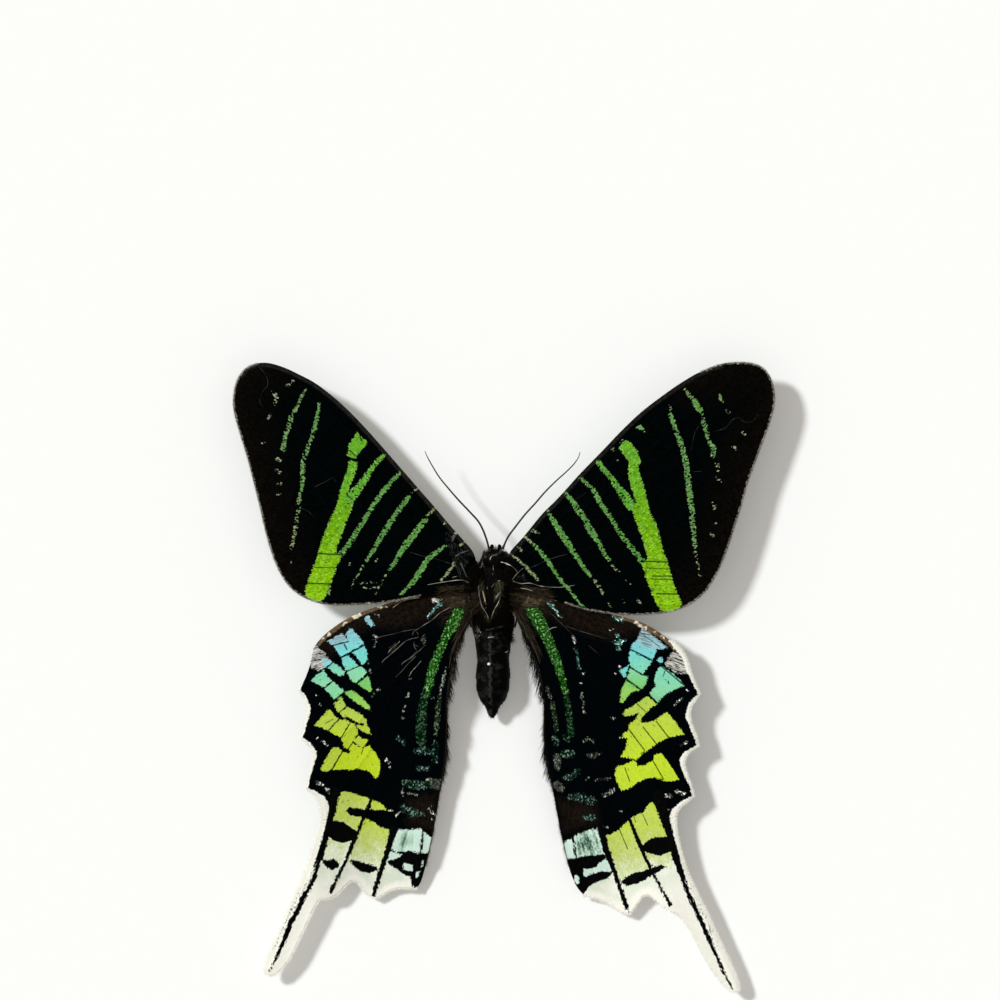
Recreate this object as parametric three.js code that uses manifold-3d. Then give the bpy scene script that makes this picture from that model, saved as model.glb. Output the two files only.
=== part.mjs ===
// A spread swallowtail moth, dried and set flat: thorax, head, abdomen, four wings, two antennae and
// six folded legs. Millimetres, +X to the moth's right as seen from above with the head away, +Y
// towards the head, +Z up. The origin is on the surface that it lies on, under the middle of the thorax.
import * as THREE from "three";
import { mergeVertices } from "three/addons/utils/BufferGeometryUtils.js";
import Module from "manifold-3d";

// Driving dimensions
const WINGSPAN = 70.6;
const WING_THICKNESS = 0.3;
const FOREWING_HEIGHT = 4.6;
const HINDWING_HEIGHT = 4.15;
const TAIL_HEIGHT = 2.4;
const TAIL_END = -50;
const INNER_SAG = 1.0; // of a hindwing's inner half, beside the abdomen
const REAR_SAG = 0.6; // of its scalloped rear edge, more than that
const THORAX_LENGTH = 8.4;
const THORAX_HALF_WIDTH = 3.0;
const THORAX_TOP = 6.1;
const ABDOMEN_FRONT = -3.2;
const ABDOMEN_END = -15.5;
const ABDOMEN_RINGS = 7;
const HEAD_CENTRE = [0.35, 5.35, 2.95];
const JOINT_GAP = 0.12; // between two pieces that touch

// Mesh fineness
const OUTLINE_STEP = 1.1;
const LATTICE_STEP = 2.3;
const BODY_SIDES = 24;

// The outlines below are read by eye off the photograph, in its pixels. The body's axis and the wings'
// roots are at this place in it, and the forewings' tips are this many pixels apart.
const BODY_ON_PHOTO = new THREE.Vector2(493, 600);
const WINGSPAN_ON_PHOTO = 543;
const SCALE = WINGSPAN / WINGSPAN_ON_PHOTO;

// Each wing's outline is a closed chain of smooth runs that meet in corners.
const LEFT_FOREWING = [
  [
    [478, 566], [474, 552], [463, 538.5], [450, 524], [437, 508.5], [420, 489], [400, 466], [380, 443],
    [360, 421], [345, 406], [330, 393], [315, 382], [300, 374], [285, 367], [270, 362.5], [258, 362.5],
    [248, 366], [240, 373.5], [235, 384], [232.5, 400], [234, 415], [240, 436], [247, 459], [253, 482],
    [259, 506], [264.5, 530], [271, 553], [279, 572], [289, 587], [302, 597], [318, 603.5], [335, 606],
    [355, 605.5], [380, 604], [400, 601], [420, 597], [445, 592], [468, 589],
  ],
  [[468, 589], [480, 588], [485, 580], [482, 571], [478, 566]],
];
const RIGHT_FOREWING = [
  [
    [506, 563], [509, 552], [523, 536], [541, 514], [555, 500], [567, 487], [580, 472.5], [600, 452],
    [620, 431], [640, 412], [660, 396.5], [680, 382.5], [700, 371], [720, 363.5], [738, 361.5],
    [752, 362.5], [763, 367], [771, 377], [775, 391], [775, 405], [771, 421], [764, 441], [755, 465],
    [748, 484], [742, 506], [735, 528], [727, 552], [717, 575], [705, 593], [690, 605], [672, 612],
    [650, 615], [625, 615.5], [605, 613.5], [585, 610], [565, 604], [545, 597.5], [520, 590],
  ],
  [[520, 590], [505, 588], [500, 580], [502, 571], [506, 563]],
];
const LEFT_HINDWING = [
  [
    [474, 600], [460, 594], [440, 591], [420, 592.5], [402, 598], [385, 603.5], [370, 608], [355, 614],
    [340, 622], [326, 632.5], [316, 643], [310.5, 653], [309.5, 663], [306, 674], [302, 683], [298.5, 690],
  ],
  [[298.5, 690], [302, 694], [305, 700], [306.5, 710], [305.5, 719], [303, 729], [300.5, 738]],
  [[300.5, 738], [305, 742], [310, 747], [312.5, 755], [311, 765], [308.5, 776], [306.5, 789]],
  [
    [306.5, 789], [312, 793], [317, 800], [320, 810], [320, 820], [317.5, 832], [312, 850], [305, 870],
    [296, 891], [288, 911], [280, 930], [271, 948], [265.5, 960], [263.5, 969], [265.5, 975.5],
    [270, 977.5], [276, 975], [284, 967], [292, 955], [300, 938], [308, 921], [315, 906.5], [320, 900],
  ],
  [[320, 900], [331, 899], [338, 894.5], [345, 887], [351, 882.5], [357, 883.5], [360.5, 889], [367, 896],
    [376, 900.5]],
  [[376, 900.5], [383, 896.5], [390, 892], [400, 890], [410, 890.5], [417, 890.5]],
  [
    [417, 890.5], [421.5, 883], [426, 868], [430.5, 850], [434, 832], [437.5, 812], [441, 790], [444, 770],
    [446.5, 750], [447.5, 730], [447.5, 710], [448, 692], [450, 676], [453, 660], [457.5, 647],
    [463, 634], [469, 622], [474, 612], [478, 606],
  ],
  [[478, 606], [484, 604], [482, 598], [474, 600]],
];
const RIGHT_HINDWING = [
  [
    [512, 600], [530, 596], [550, 597], [570, 602], [590, 607.5], [610, 613], [630, 618], [645, 623],
    [658, 630.5], [671, 640], [681, 649], [687, 659], [690, 670], [694.5, 682], [699.5, 693.5],
  ],
  [[699.5, 693.5], [695, 700.5], [691, 707], [690, 715], [691.5, 724], [695, 733], [698.5, 745.5]],
  [[698.5, 745.5], [692, 750], [687, 755], [684.5, 764], [687, 774], [691, 785], [694, 796]],
  [
    [694, 796], [688, 801.5], [681, 807], [676.5, 815], [676.5, 828], [680, 846], [686, 867], [695, 888],
    [706, 910], [717, 934], [727, 955], [735, 973], [740, 988], [738, 993.5], [731, 992.5], [722, 984],
    [711, 969], [701, 951], [692, 934], [685, 922.5], [679, 915.5],
  ],
  [[679, 915.5], [671, 912], [661, 906], [655, 900.5], [650, 896.5], [644, 897], [639, 903], [635, 909],
    [630, 916]],
  [[630, 916], [621, 913.5], [610, 906.5], [600, 901.5], [591, 899.5], [583, 897]],
  [
    [583, 897], [576, 888], [570, 874], [565.5, 858], [562, 842], [558.5, 825], [555, 806], [551, 785],
    [547.5, 765], [545, 745], [544, 725], [543.5, 705], [542.5, 688], [539.5, 673], [535, 660],
    [529, 648], [523, 636], [517, 622], [512, 610], [509, 606],
  ],
  [[509, 606], [503, 604], [505, 598], [512, 600]],
];
const LEFT_ANTENNA = [
  [489.5, 551], [487, 541], [483, 530], [478, 521], [469, 511], [459, 500.5], [449, 489], [440, 478],
  [433, 467], [427.5, 457], [425, 451],
];
const RIGHT_ANTENNA = [
  [502.5, 549], [508, 537], [516, 526], [525, 514.5], [535, 503.5], [545, 492], [556, 481],
  [566, 472], [573, 465], [578, 458], [580, 452],
];

// Materials
const blackScales = new THREE.MeshStandardMaterial({ color: 0x0c0b0a, roughness: 0.75, metalness: 0 });
const greenScales = new THREE.MeshStandardMaterial({ color: 0x2f6b45, roughness: 0.75, metalness: 0 });
const bodyHair = new THREE.MeshStandardMaterial({ color: 0x1b1612, roughness: 0.9, metalness: 0 });
const blackShell = new THREE.MeshStandardMaterial({ color: 0x0b0a0a, roughness: 0.5, metalness: 0 });
const legShell = new THREE.MeshStandardMaterial({ color: 0x2a1f17, roughness: 0.6, metalness: 0 });

const wasm = await Module();
wasm.setup();

// A closed geometry as a solid that can be joined and cut.
function solid(geometry) {
  for (const name of ["normal", "uv"]) geometry.deleteAttribute(name);
  const merged = mergeVertices(geometry, 1e-5);
  return new wasm.Manifold(
    new wasm.Mesh({
      numProp: 3,
      vertProperties: new Float32Array(merged.attributes.position.array),
      triVerts: new Uint32Array(merged.index.array),
    }),
  );
}

// The largest closed body of a solid, as a geometry.
function geometryOf(made) {
  const bodies = made.decompose();
  bodies.sort((a, b) => b.volume() - a.volume());
  const mesh = bodies[0].getMesh();
  return meshGeometry(Array.from(mesh.vertProperties), Array.from(mesh.triVerts));
}

function meshGeometry(positions, triangles) {
  const geometry = new THREE.BufferGeometry();
  geometry.setAttribute("position", new THREE.Float32BufferAttribute(positions, 3));
  geometry.setIndex(triangles);
  geometry.computeVertexNormals();
  return geometry;
}

function onModel([x, y]) {
  return new THREE.Vector2(x - BODY_ON_PHOTO.x, BODY_ON_PHOTO.y - y).multiplyScalar(SCALE);
}

// A closed outline in millimetres, with points a step apart along each smooth run.
function outlinePoints(runs) {
  return runs.flatMap((run) => {
    const curve = new THREE.SplineCurve(run.map(onModel));
    const count = Math.max(1, Math.round(curve.getLength() / OUTLINE_STEP));
    return curve.getSpacedPoints(count).slice(0, count);
  });
}

function isInside(point, outline) {
  let inside = false;
  outline.forEach((a, i) => {
    const b = outline[(i + 1) % outline.length];
    const crosses = a.y > point.y !== b.y > point.y;
    if (crosses && point.x < ((b.x - a.x) * (point.y - a.y)) / (b.y - a.y) + a.x) inside = !inside;
  });
  return inside;
}

// Points of a slightly slanted lattice of near-equal triangles that lie inside an outline and clear of it.
function latticePoints(outline) {
  const clear = 0.6 * LATTICE_STEP;
  const rowStep = LATTICE_STEP * Math.sin(Math.PI / 3);
  const slant = 0.01;
  const box = new THREE.Box2().setFromPoints(outline);
  const found = [];
  let row = 0;
  for (let y = box.min.y; y < box.max.y; y += rowStep) {
    row += 1;
    for (let x = box.min.x + (row % 2) * LATTICE_STEP * 0.5; x < box.max.x; x += LATTICE_STEP) {
      const point = new THREE.Vector2(x + slant * y, y + slant * x);
      const nearest = Math.min(...outline.map((p) => p.distanceTo(point)));
      if (nearest > clear && isInside(point, outline)) found.push(point);
    }
  }
  return found;
}

// The Delaunay triangles of a set of points, found by adding one point at a time.
function delaunay(points) {
  const far = 1e4;
  const corners = [[-far, -far], [far, -far], [0, far]].map(([x, y]) => new THREE.Vector2(x, y));
  const all = [...points, ...corners];
  const holds = (triangle, p) => {
    const [a, b, c] = triangle.map((i) => all[i].clone().sub(p));
    return a.lengthSq() * b.cross(c) + b.lengthSq() * c.cross(a) + c.lengthSq() * a.cross(b) > 0;
  };
  let triangles = [[points.length, points.length + 1, points.length + 2]];
  points.forEach((p, index) => {
    const hit = triangles.filter((t) => holds(t, p));
    const edges = new Map();
    for (const [a, b, c] of hit) {
      for (const [from, to] of [[a, b], [b, c], [c, a]]) {
        if (!edges.delete(`${to},${from}`)) edges.set(`${from},${to}`, [from, to]);
      }
    }
    triangles = triangles.filter((t) => !hit.includes(t));
    for (const [from, to] of edges.values()) triangles.push([from, to, index]);
  });
  return triangles.filter((t) => t.every((i) => i < points.length));
}

// A thin wing: its outline, filled with triangles, at a height that follows a rule, and given a thickness.
function wingSolid(runs, height) {
  const outline = outlinePoints(runs);
  const points = [...outline, ...latticePoints(outline)];
  const faces = delaunay(points).filter(([a, b, c]) => {
    const middle = points[a].clone().add(points[b]).add(points[c]).divideScalar(3);
    return isInside(middle, outline);
  });
  const positions = [];
  for (const side of [0.5, -0.5]) {
    for (const p of points) positions.push(p.x, p.y, height(p) + side * WING_THICKNESS);
  }
  const under = points.length;
  const border = new Map();
  const triangles = [];
  for (const [a, b, c] of faces) {
    triangles.push(a, b, c, under + a, under + c, under + b);
    for (const [from, to] of [[a, b], [b, c], [c, a]]) {
      if (!border.delete(`${to},${from}`)) border.set(`${from},${to}`, [from, to]);
    }
  }
  for (const [from, to] of border.values()) {
    triangles.push(from, under + from, to, to, under + from, under + to);
  }
  return solid(meshGeometry(positions, triangles));
}

// A forewing arches a little from its root to its tip.
function forewingHeight(point) {
  const reach = Math.min(1, Math.abs(point.x) / (WINGSPAN / 2));
  return FOREWING_HEIGHT + 0.25 * Math.sin(Math.PI * reach) - 0.1 * reach;
}

// A hindwing falls evenly from under the forewing to its tail, and droops a little towards its edge.
// Its inner half sags behind the body.
function hindwingHeight(point) {
  const { clamp, lerp, smoothstep } = THREE.MathUtils;
  const down = clamp(point.y / TAIL_END, 0, 1);
  const out = Math.abs(point.x) / (WINGSPAN / 2);
  const sag = INNER_SAG * smoothstep(-point.y, 11, 21) + REAR_SAG * smoothstep(-point.y, 31, 38);
  const inner = 1 - smoothstep(Math.abs(point.x), 15, 24);
  return lerp(HINDWING_HEIGHT, TAIL_HEIGHT, down) - 0.25 * out * out - inner * sag;
}

// A closed skin over oval sections along Y. A section is [y, middle x, half width, bottom, top].
// What would reach below the surface that the moth lies on is flattened against it.
function bodySkin(sections, grow = 0) {
  const positions = [];
  const triangles = [];
  for (const [y, x, half, bottom, top] of sections) {
    for (let i = 0; i < BODY_SIDES; i += 1) {
      const turn = (2 * Math.PI * i) / BODY_SIDES;
      const middle = (top + bottom) / 2;
      const rise = (top - bottom) / 2 + grow;
      const z = middle + rise * Math.cos(turn);
      positions.push(x + (half + grow) * Math.sin(turn), y, Math.max(z, grow > 0 ? -1 : 0));
    }
  }
  for (let ring = 0; ring + 1 < sections.length; ring += 1) {
    for (let i = 0; i < BODY_SIDES; i += 1) {
      const next = (i + 1) % BODY_SIDES;
      const [a, b] = [ring * BODY_SIDES + i, ring * BODY_SIDES + next];
      const [c, d] = [a + BODY_SIDES, b + BODY_SIDES];
      triangles.push(a, c, b, b, c, d);
    }
  }
  const last = sections.length - 1;
  for (const [ring, flip] of [[0, false], [last, true]]) {
    const [y, x, , bottom, top] = sections[ring];
    const pole = positions.length / 3;
    positions.push(x, y, Math.max((bottom + top) / 2, 0));
    for (let i = 0; i < BODY_SIDES; i += 1) {
      const [a, b] = [ring * BODY_SIDES + i, ring * BODY_SIDES + ((i + 1) % BODY_SIDES)];
      triangles.push(...(flip ? [pole, b, a] : [pole, a, b]));
    }
  }
  return solid(meshGeometry(positions, triangles));
}

// The thorax is an egg with a flat belly. Each entry is a share of its length from the front, then
// the share of its full width, its bottom and the share of its full height there.
function thoraxSections(grow = 0) {
  const front = THORAX_LENGTH / 2 + 0.05;
  const shape = [
    [0.0, 0.3, 2.2, 0.55],
    [0.03, 0.48, 1.5, 0.68],
    [0.12, 0.7, 0.8, 0.83],
    [0.27, 0.9, 0.05, 0.95],
    [0.45, 1.0, -0.3, 1.0],
    [0.65, 0.97, -0.3, 0.99],
    [0.82, 0.86, -0.1, 0.9],
    [0.93, 0.7, 0.4, 0.79],
    [1.0, 0.42, 1.3, 0.64],
  ];
  return shape.map(([along, wide, bottom, high], i) => {
    const end = i === 0 ? grow : i === shape.length - 1 ? -grow : 0;
    const y = front - along * THORAX_LENGTH + end;
    return [y, 0, wide * THORAX_HALF_WIDTH, bottom, high * THORAX_TOP];
  });
}

// The abdomen has rings that overlap backwards like tiles, and narrows to a point.
function abdomenSections() {
  const halfWidth = new THREE.CatmullRomCurve3(
    [[0, 2.3], [0.25, 2.15], [0.45, 2.2], [0.62, 2.12], [0.76, 1.75], [0.87, 1.1], [0.95, 0.5], [1, 0.2]].map(
      ([along, half]) => new THREE.Vector3(along, half, 0),
    ),
  );
  const sections = [];
  for (let ring = 0; ring < ABDOMEN_RINGS; ring += 1) {
    for (const [share, swell] of [[0.02, 0.97], [0.5, 1.0], [0.97, 1.02]]) {
      const along = (ring + share) / ABDOMEN_RINGS;
      const half = halfWidth.getPoint(along).y * swell;
      const y = THREE.MathUtils.lerp(ABDOMEN_FRONT, ABDOMEN_END, halfWidth.getPoint(along).x);
      const middle = 2.05 - 0.35 * along;
      sections.push([y, 0.12 - 0.22 * along, half, middle - 0.97 * half, middle + 0.97 * half]);
    }
  }
  return sections;
}

// A tapering tube with closed ends along a smooth path. No point of it goes below the surface.
function taperedTube(path, radii, sides, steps) {
  const curve = new THREE.CatmullRomCurve3(path.map((p) => new THREE.Vector3(...p)), false, "centripetal");
  const frames = curve.computeFrenetFrames(steps, false);
  const positions = [];
  const triangles = [];
  for (let i = 0; i <= steps; i += 1) {
    const centre = curve.getPointAt(i / steps);
    const share = (i / steps) * (radii.length - 1);
    const low = Math.min(Math.floor(share), radii.length - 2);
    const radius = THREE.MathUtils.lerp(radii[low], radii[low + 1], share - low);
    for (let j = 0; j < sides; j += 1) {
      const turn = (2 * Math.PI * j) / sides;
      const p = centre
        .clone()
        .addScaledVector(frames.normals[i], radius * Math.cos(turn))
        .addScaledVector(frames.binormals[i], radius * Math.sin(turn));
      positions.push(p.x, p.y, Math.max(p.z, 0));
    }
  }
  for (let i = 0; i < steps; i += 1) {
    for (let j = 0; j < sides; j += 1) {
      const [a, b] = [i * sides + j, i * sides + ((j + 1) % sides)];
      triangles.push(a, b, a + sides, b, b + sides, a + sides);
    }
  }
  for (const [ring, flip] of [[0, true], [steps, false]]) {
    const centre = curve.getPointAt(ring / steps);
    const pole = positions.length / 3;
    positions.push(centre.x, centre.y, Math.max(centre.z, 0.01));
    for (let j = 0; j < sides; j += 1) {
      const [a, b] = [ring * sides + j, ring * sides + ((j + 1) % sides)];
      triangles.push(...(flip ? [pole, b, a] : [pole, a, b]));
    }
  }
  return solid(meshGeometry(positions, triangles));
}

function oval(centre, halfSizes) {
  const ball = new THREE.SphereGeometry(1, 14, 10);
  ball.scale(...halfSizes);
  ball.translate(...centre);
  return solid(ball);
}

// The head is a skull with two round eyes and two short palps in front.
function headSolid() {
  const [x, y, z] = HEAD_CENTRE;
  let head = oval([x, y, z], [1.35, 1.3, 1.35]);
  for (const side of [-1, 1]) {
    head = head.add(oval([x + side * 1.05, y + 0.2, z - 0.1], [0.82, 0.95, 0.95]));
    head = head.add(oval([x + side * 0.5, y + 1.35, z - 0.55], [0.38, 0.6, 0.75]));
  }
  return head;
}

// Each leg folds from the thorax out to its knee, back to its ankle and on to its foot.
// The points are for the right side.
const LEG_POINTS = {
  foreleg: [[1.0, 2.4, 1.0], [2.3, 3.6, 0.75], [1.75, 4.6, 0.45], [1.35, 5.6, 0.24], [1.15, 6.4, 0.16]],
  midleg: [[1.3, 0.4, 1.0], [3.3, 1.3, 0.8], [3.45, -0.6, 0.5], [3.15, -2.4, 0.26], [2.85, -3.7, 0.16]],
  hindleg: [[1.2, -2.0, 0.9], [2.5, -2.6, 0.7], [2.1, -5.4, 0.32], [1.87, -8.2, 0.2], [1.6, -11.2, 0.14]],
};
const LEG_RADII = [0.42, 0.36, 0.26, 0.17, 0.12];

// An antenna rises from the head to the height of the wings. Its radius falls from root to tip.
const ANTENNA_HEIGHTS = [3.9, 4.25, 4.5, 4.65, 4.75, 4.8, 4.85, 4.9, 4.9, 4.9, 4.85];
const ANTENNA_RADII = [0.16, 0.13, 0.08];

function antennaSolid(points) {
  const path = points.map((p, i) => {
    const at = onModel(p);
    return [at.x, at.y, ANTENNA_HEIGHTS[i]];
  });
  return taperedTube(path, ANTENNA_RADII, 6, 26);
}

function legSolid(points, side) {
  const path = points.map(([x, y, z]) => [side * x, y, z]);
  return taperedTube(path, LEG_RADII, 8, 16);
}

const moth = new THREE.Group();

function addPiece(name, made, material) {
  const mesh = new THREE.Mesh(geometryOf(made), material);
  mesh.name = name;
  moth.add(mesh);
}

// The other pieces are cut back from the thorax, and the antennae from the head.
const thorax = bodySkin(thoraxSections());
const aroundThorax = bodySkin(thoraxSections(JOINT_GAP), JOINT_GAP);
const head = headSolid().subtract(aroundThorax);
addPiece("thorax", thorax, bodyHair);
addPiece("head", head, bodyHair);
addPiece("abdomen", bodySkin(abdomenSections()).subtract(aroundThorax), blackShell);

const WINGS = [
  ["left_forewing", LEFT_FOREWING, forewingHeight, blackScales],
  ["right_forewing", RIGHT_FOREWING, forewingHeight, blackScales],
  ["left_hindwing", LEFT_HINDWING, hindwingHeight, greenScales],
  ["right_hindwing", RIGHT_HINDWING, hindwingHeight, greenScales],
];
for (const [name, runs, height, material] of WINGS) {
  addPiece(name, wingSolid(runs, height).subtract(aroundThorax), material);
}

addPiece("left_antenna", antennaSolid(LEFT_ANTENNA).subtract(head), blackShell);
addPiece("right_antenna", antennaSolid(RIGHT_ANTENNA).subtract(head), blackShell);

for (const [name, points] of Object.entries(LEG_POINTS)) {
  addPiece(`left_${name}`, legSolid(points, -1).subtract(aroundThorax), legShell);
  addPiece(`right_${name}`, legSolid(points, 1).subtract(aroundThorax), legShell);
}

export default moth;
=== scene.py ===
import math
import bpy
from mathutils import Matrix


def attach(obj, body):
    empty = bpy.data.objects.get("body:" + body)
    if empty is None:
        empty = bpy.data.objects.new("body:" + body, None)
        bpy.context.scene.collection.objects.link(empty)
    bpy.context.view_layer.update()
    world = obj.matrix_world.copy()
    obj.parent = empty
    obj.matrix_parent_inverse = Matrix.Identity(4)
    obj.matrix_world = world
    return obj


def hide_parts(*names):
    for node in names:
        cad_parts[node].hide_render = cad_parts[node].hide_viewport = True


bl_info = {
    "name": "Spread Swallowtail Moth",
    "version": (1, 0, 0),
    "blender": (4, 5, 0),
    "location": "3D View > Sidebar > Moth",
    "description": "Builds a dried day-flying swallowtail moth with its wings spread flat",
    "category": "Add Mesh",
}

import bpy
import numpy as np
from mathutils import Vector
from mathutils.bvhtree import BVHTree

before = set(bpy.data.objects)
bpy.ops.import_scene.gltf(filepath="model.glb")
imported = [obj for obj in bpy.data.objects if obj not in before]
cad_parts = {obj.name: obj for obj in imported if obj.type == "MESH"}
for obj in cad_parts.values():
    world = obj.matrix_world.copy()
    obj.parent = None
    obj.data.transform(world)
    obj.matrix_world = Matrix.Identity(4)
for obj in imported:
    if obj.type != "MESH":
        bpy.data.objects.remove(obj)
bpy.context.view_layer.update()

# The wings' outlines and markings are read off the photograph, in its pixels. The wings' roots
# are at this place in it, and one of its pixels is this long on the moth.
BODY_ON_PHOTO = np.array([493.0, 600.0])
WINGSPAN = 0.0706
WINGSPAN_ON_PHOTO = 543.0
PIXEL = WINGSPAN / WINGSPAN_ON_PHOTO
MM = 0.001
FAR = 14.0  # pixels beyond which a distance no longer matters
SIDES = {"left": -1, "right": 1}
WING_GLOSS = (0.6, 0.006)  # a wing's roughness, and its share of reflected light
WARM_WHITE = (1.0, 0.965, 0.9, 1.0)


def on_model(points):
    """Pixels of the photograph to metres on the model."""
    return (np.asarray(points, float) - BODY_ON_PHOTO) * (PIXEL, -PIXEL)


def at(*numbers):
    """The points x,y, x,y, and so on."""
    return list(zip(numbers[::2], numbers[1::2]))


def colour(red, green, blue):
    """A colour on a screen, 0 to 255, as the linear colour that a shader takes."""
    share = np.array([red, green, blue]) / 255
    linear = np.where(share <= 0.04045, share / 12.92, ((share + 0.055) / 1.055) ** 2.4)
    return (*linear.tolist(), 1.0)


# Curves and distances, in pixels of the photograph


def smooth_run(points, step):
    """Points about a step apart on a smooth curve through the given ones."""
    p = np.asarray(points, float)
    padded = np.vstack([p[:1], p, p[-1:]])
    made = []
    for before, start, end, after in zip(padded, padded[1:], padded[2:], padded[3:]):
        count = max(1, math.ceil(np.linalg.norm(end - start) / step))
        t = np.arange(count)[:, None] / count
        leave, arrive = (end - before) / 2, (after - start) / 2
        cubic = 2 * start - 2 * end + leave + arrive
        square = -3 * start + 3 * end - 2 * leave - arrive
        made.append(cubic * t**3 + square * t**2 + leave * t + start)
    return np.vstack([*made, p[-1:]])


def closed_outline(runs, step=1.4):
    """Smooth runs that meet in corners, as one closed chain of points."""
    return np.vstack([smooth_run(run, step)[:-1] for run in runs])


def around(points, shape, reach=FAR):
    """The indexes of the points that are within reach of a shape's box."""
    low, high = np.min(shape, 0) - reach, np.max(shape, 0) + reach
    return np.nonzero(((points > low) & (points < high)).all(1))[0]


def line_distance(points, line):
    """Each point's distance to a chain of points, and how far along it the nearest place is, 0 to 1."""
    line = np.asarray(line, float)
    steps = np.linalg.norm(np.diff(line, axis=0), axis=1)
    ends = np.concatenate([[0], np.cumsum(steps)])
    best = np.full(len(points), np.inf)
    along = np.zeros(len(points))
    for start, end, length, before in zip(line, line[1:], steps, ends):
        direction = (end - start) / max(length, 1e-9)
        reach = np.clip((points - start) @ direction, 0, length)
        distance = np.linalg.norm(points - start - reach[:, None] * direction, axis=1)
        nearer = distance < best
        best[nearer] = distance[nearer]
        along[nearer] = (before + reach[nearer]) / ends[-1]
    return best, along


def is_inside(points, polygon):
    inside = np.zeros(len(points), bool)
    for a, b in zip(polygon, np.roll(polygon, -1, axis=0)):
        if a[1] == b[1]:
            continue
        rows = np.nonzero((a[1] > points[:, 1]) != (b[1] > points[:, 1]))[0]
        crossing = a[0] + (points[rows, 1] - a[1]) * (b[0] - a[0]) / (b[1] - a[1])
        inside[rows] ^= points[rows, 0] < crossing
    return inside


def area_depth(points, polygon):
    """How deep each point is inside a polygon. It is negative outside, and no more than FAR either way."""
    polygon = np.asarray(polygon, float)
    depth = np.full(len(points), FAR)
    for start, end in zip(polygon, np.roll(polygon, -1, axis=0)):
        near = around(points, (start, end))
        if len(near):
            distance, _ = line_distance(points[near], [start, end])
            depth[near] = np.minimum(depth[near], distance)
    return np.where(is_inside(points, polygon), depth, -depth)


def streak_depth(points, line, widths):
    """How deep each point is inside a streak along a line, with one width or some, evenly along it."""
    distance, along = line_distance(points, smooth_run(line, 3.0))
    widths = np.atleast_1d(widths)
    return np.interp(along, np.linspace(0, 1, len(widths)), widths) / 2 - distance


def fitted(points, corners, new_corners):
    """Points moved as the plane moves when three corners go to three new places."""
    a = np.column_stack([np.asarray(corners, float), np.ones(3)])
    plane = np.linalg.solve(a, np.asarray(new_corners, float))
    return np.column_stack([np.asarray(points, float), np.ones(len(points))]) @ plane


# Wing outlines: closed chains of smooth runs that meet in corners

LEFT_FOREWING = [
    at(478,566, 474,552, 463,538.5, 450,524, 437,508.5, 420,489, 400,466, 380,443, 360,421, 345,406,
     330,393, 315,382, 300,374, 285,367, 270,362.5, 258,362.5, 248,366, 240,373.5, 235,384, 232.5,400,
     234,415, 240,436, 247,459, 253,482, 259,506, 264.5,530, 271,553, 279,572, 289,587, 302,597, 318,603.5,
     335,606, 355,605.5, 380,604, 400,601, 420,597, 445,592, 468,589),
    at(468,589, 480,588, 485,580, 482,571, 478,566),
]
RIGHT_FOREWING = [
    at(506,563, 509,552, 523,536, 541,514, 555,500, 567,487, 580,472.5, 600,452, 620,431, 640,412,
     660,396.5, 680,382.5, 700,371, 720,363.5, 738,361.5, 752,362.5, 763,367, 771,377, 775,391, 775,405,
     771,421, 764,441, 755,465, 748,484, 742,506, 735,528, 727,552, 717,575, 705,593, 690,605, 672,612,
     650,615, 625,615.5, 605,613.5, 585,610, 565,604, 545,597.5, 520,590),
    at(520,590, 505,588, 500,580, 502,571, 506,563),
]
LEFT_HINDWING = [
    at(474,592, 460,587, 440,586, 420,590, 402,597, 385,603.5, 370,608, 355,614, 340,622, 326,632.5,
     316,643, 310.5,653, 309.5,663, 306,674, 302,683, 298.5,690),
    at(298.5,690, 302,694, 305,700, 306.5,710, 305.5,719, 303,729, 300.5,738),
    at(300.5,738, 305,742, 310,747, 312.5,755, 311,765, 308.5,776, 306.5,789),
    at(306.5,789, 312,793, 317,800, 320,810, 320,820, 317.5,832, 312,850, 305,870, 296,891, 288,911,
     280,930, 271,948, 265.5,960, 263.5,969, 265.5,975.5, 270,977.5, 276,975, 284,967, 292,955, 300,938,
     308,921, 315,906.5, 320,900),
    at(320,900, 331,899, 338,894.5, 345,887, 351,882.5, 357,883.5, 360.5,889, 367,896, 376,900.5),
    at(376,900.5, 383,896.5, 390,892, 400,890, 410,890.5, 417,890.5),
    at(417,890.5, 421.5,883, 426,868, 430.5,850, 434,832, 437.5,812, 441,790, 444,770, 446.5,750, 447.5,730,
     447.5,710, 448,692, 450,676, 453,660, 457.5,647, 463,634, 469,622, 474,612, 478,606),
    at(478,606, 484,604, 482,596, 474,592),
]
RIGHT_HINDWING = [
    at(512,592, 530,588, 550,591, 570,600, 590,607, 610,613, 630,618, 645,623, 658,630.5, 671,640, 681,649,
     687,659, 690,670, 694.5,682, 699.5,693.5),
    at(699.5,693.5, 695,700.5, 691,707, 690,715, 691.5,724, 695,733, 698.5,745.5),
    at(698.5,745.5, 692,750, 687,755, 684.5,764, 687,774, 691,785, 694,796),
    at(694,796, 688,801.5, 681,807, 676.5,815, 676.5,828, 680,846, 686,867, 695,888, 706,910, 717,934,
     727,955, 735,973, 740,988, 738,993.5, 731,992.5, 722,984, 711,969, 701,951, 692,934, 685,922.5,
     679,915.5), at(679,915.5, 671,912, 661,906, 655,900.5, 650,896.5, 644,897, 639,903, 635,909, 630,916),
    at(630,916, 621,913.5, 610,906.5, 600,901.5, 591,899.5, 583,897),
    at(583,897, 576,888, 570,874, 565.5,858, 562,842, 558.5,825, 555,806, 551,785, 547.5,765, 545,745,
     544,725, 543.5,705, 542.5,688, 539.5,673, 535,660, 529,648, 523,636, 517,622, 512,610, 509,606),
    at(509,606, 503,604, 505,596, 512,592),
]

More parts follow.
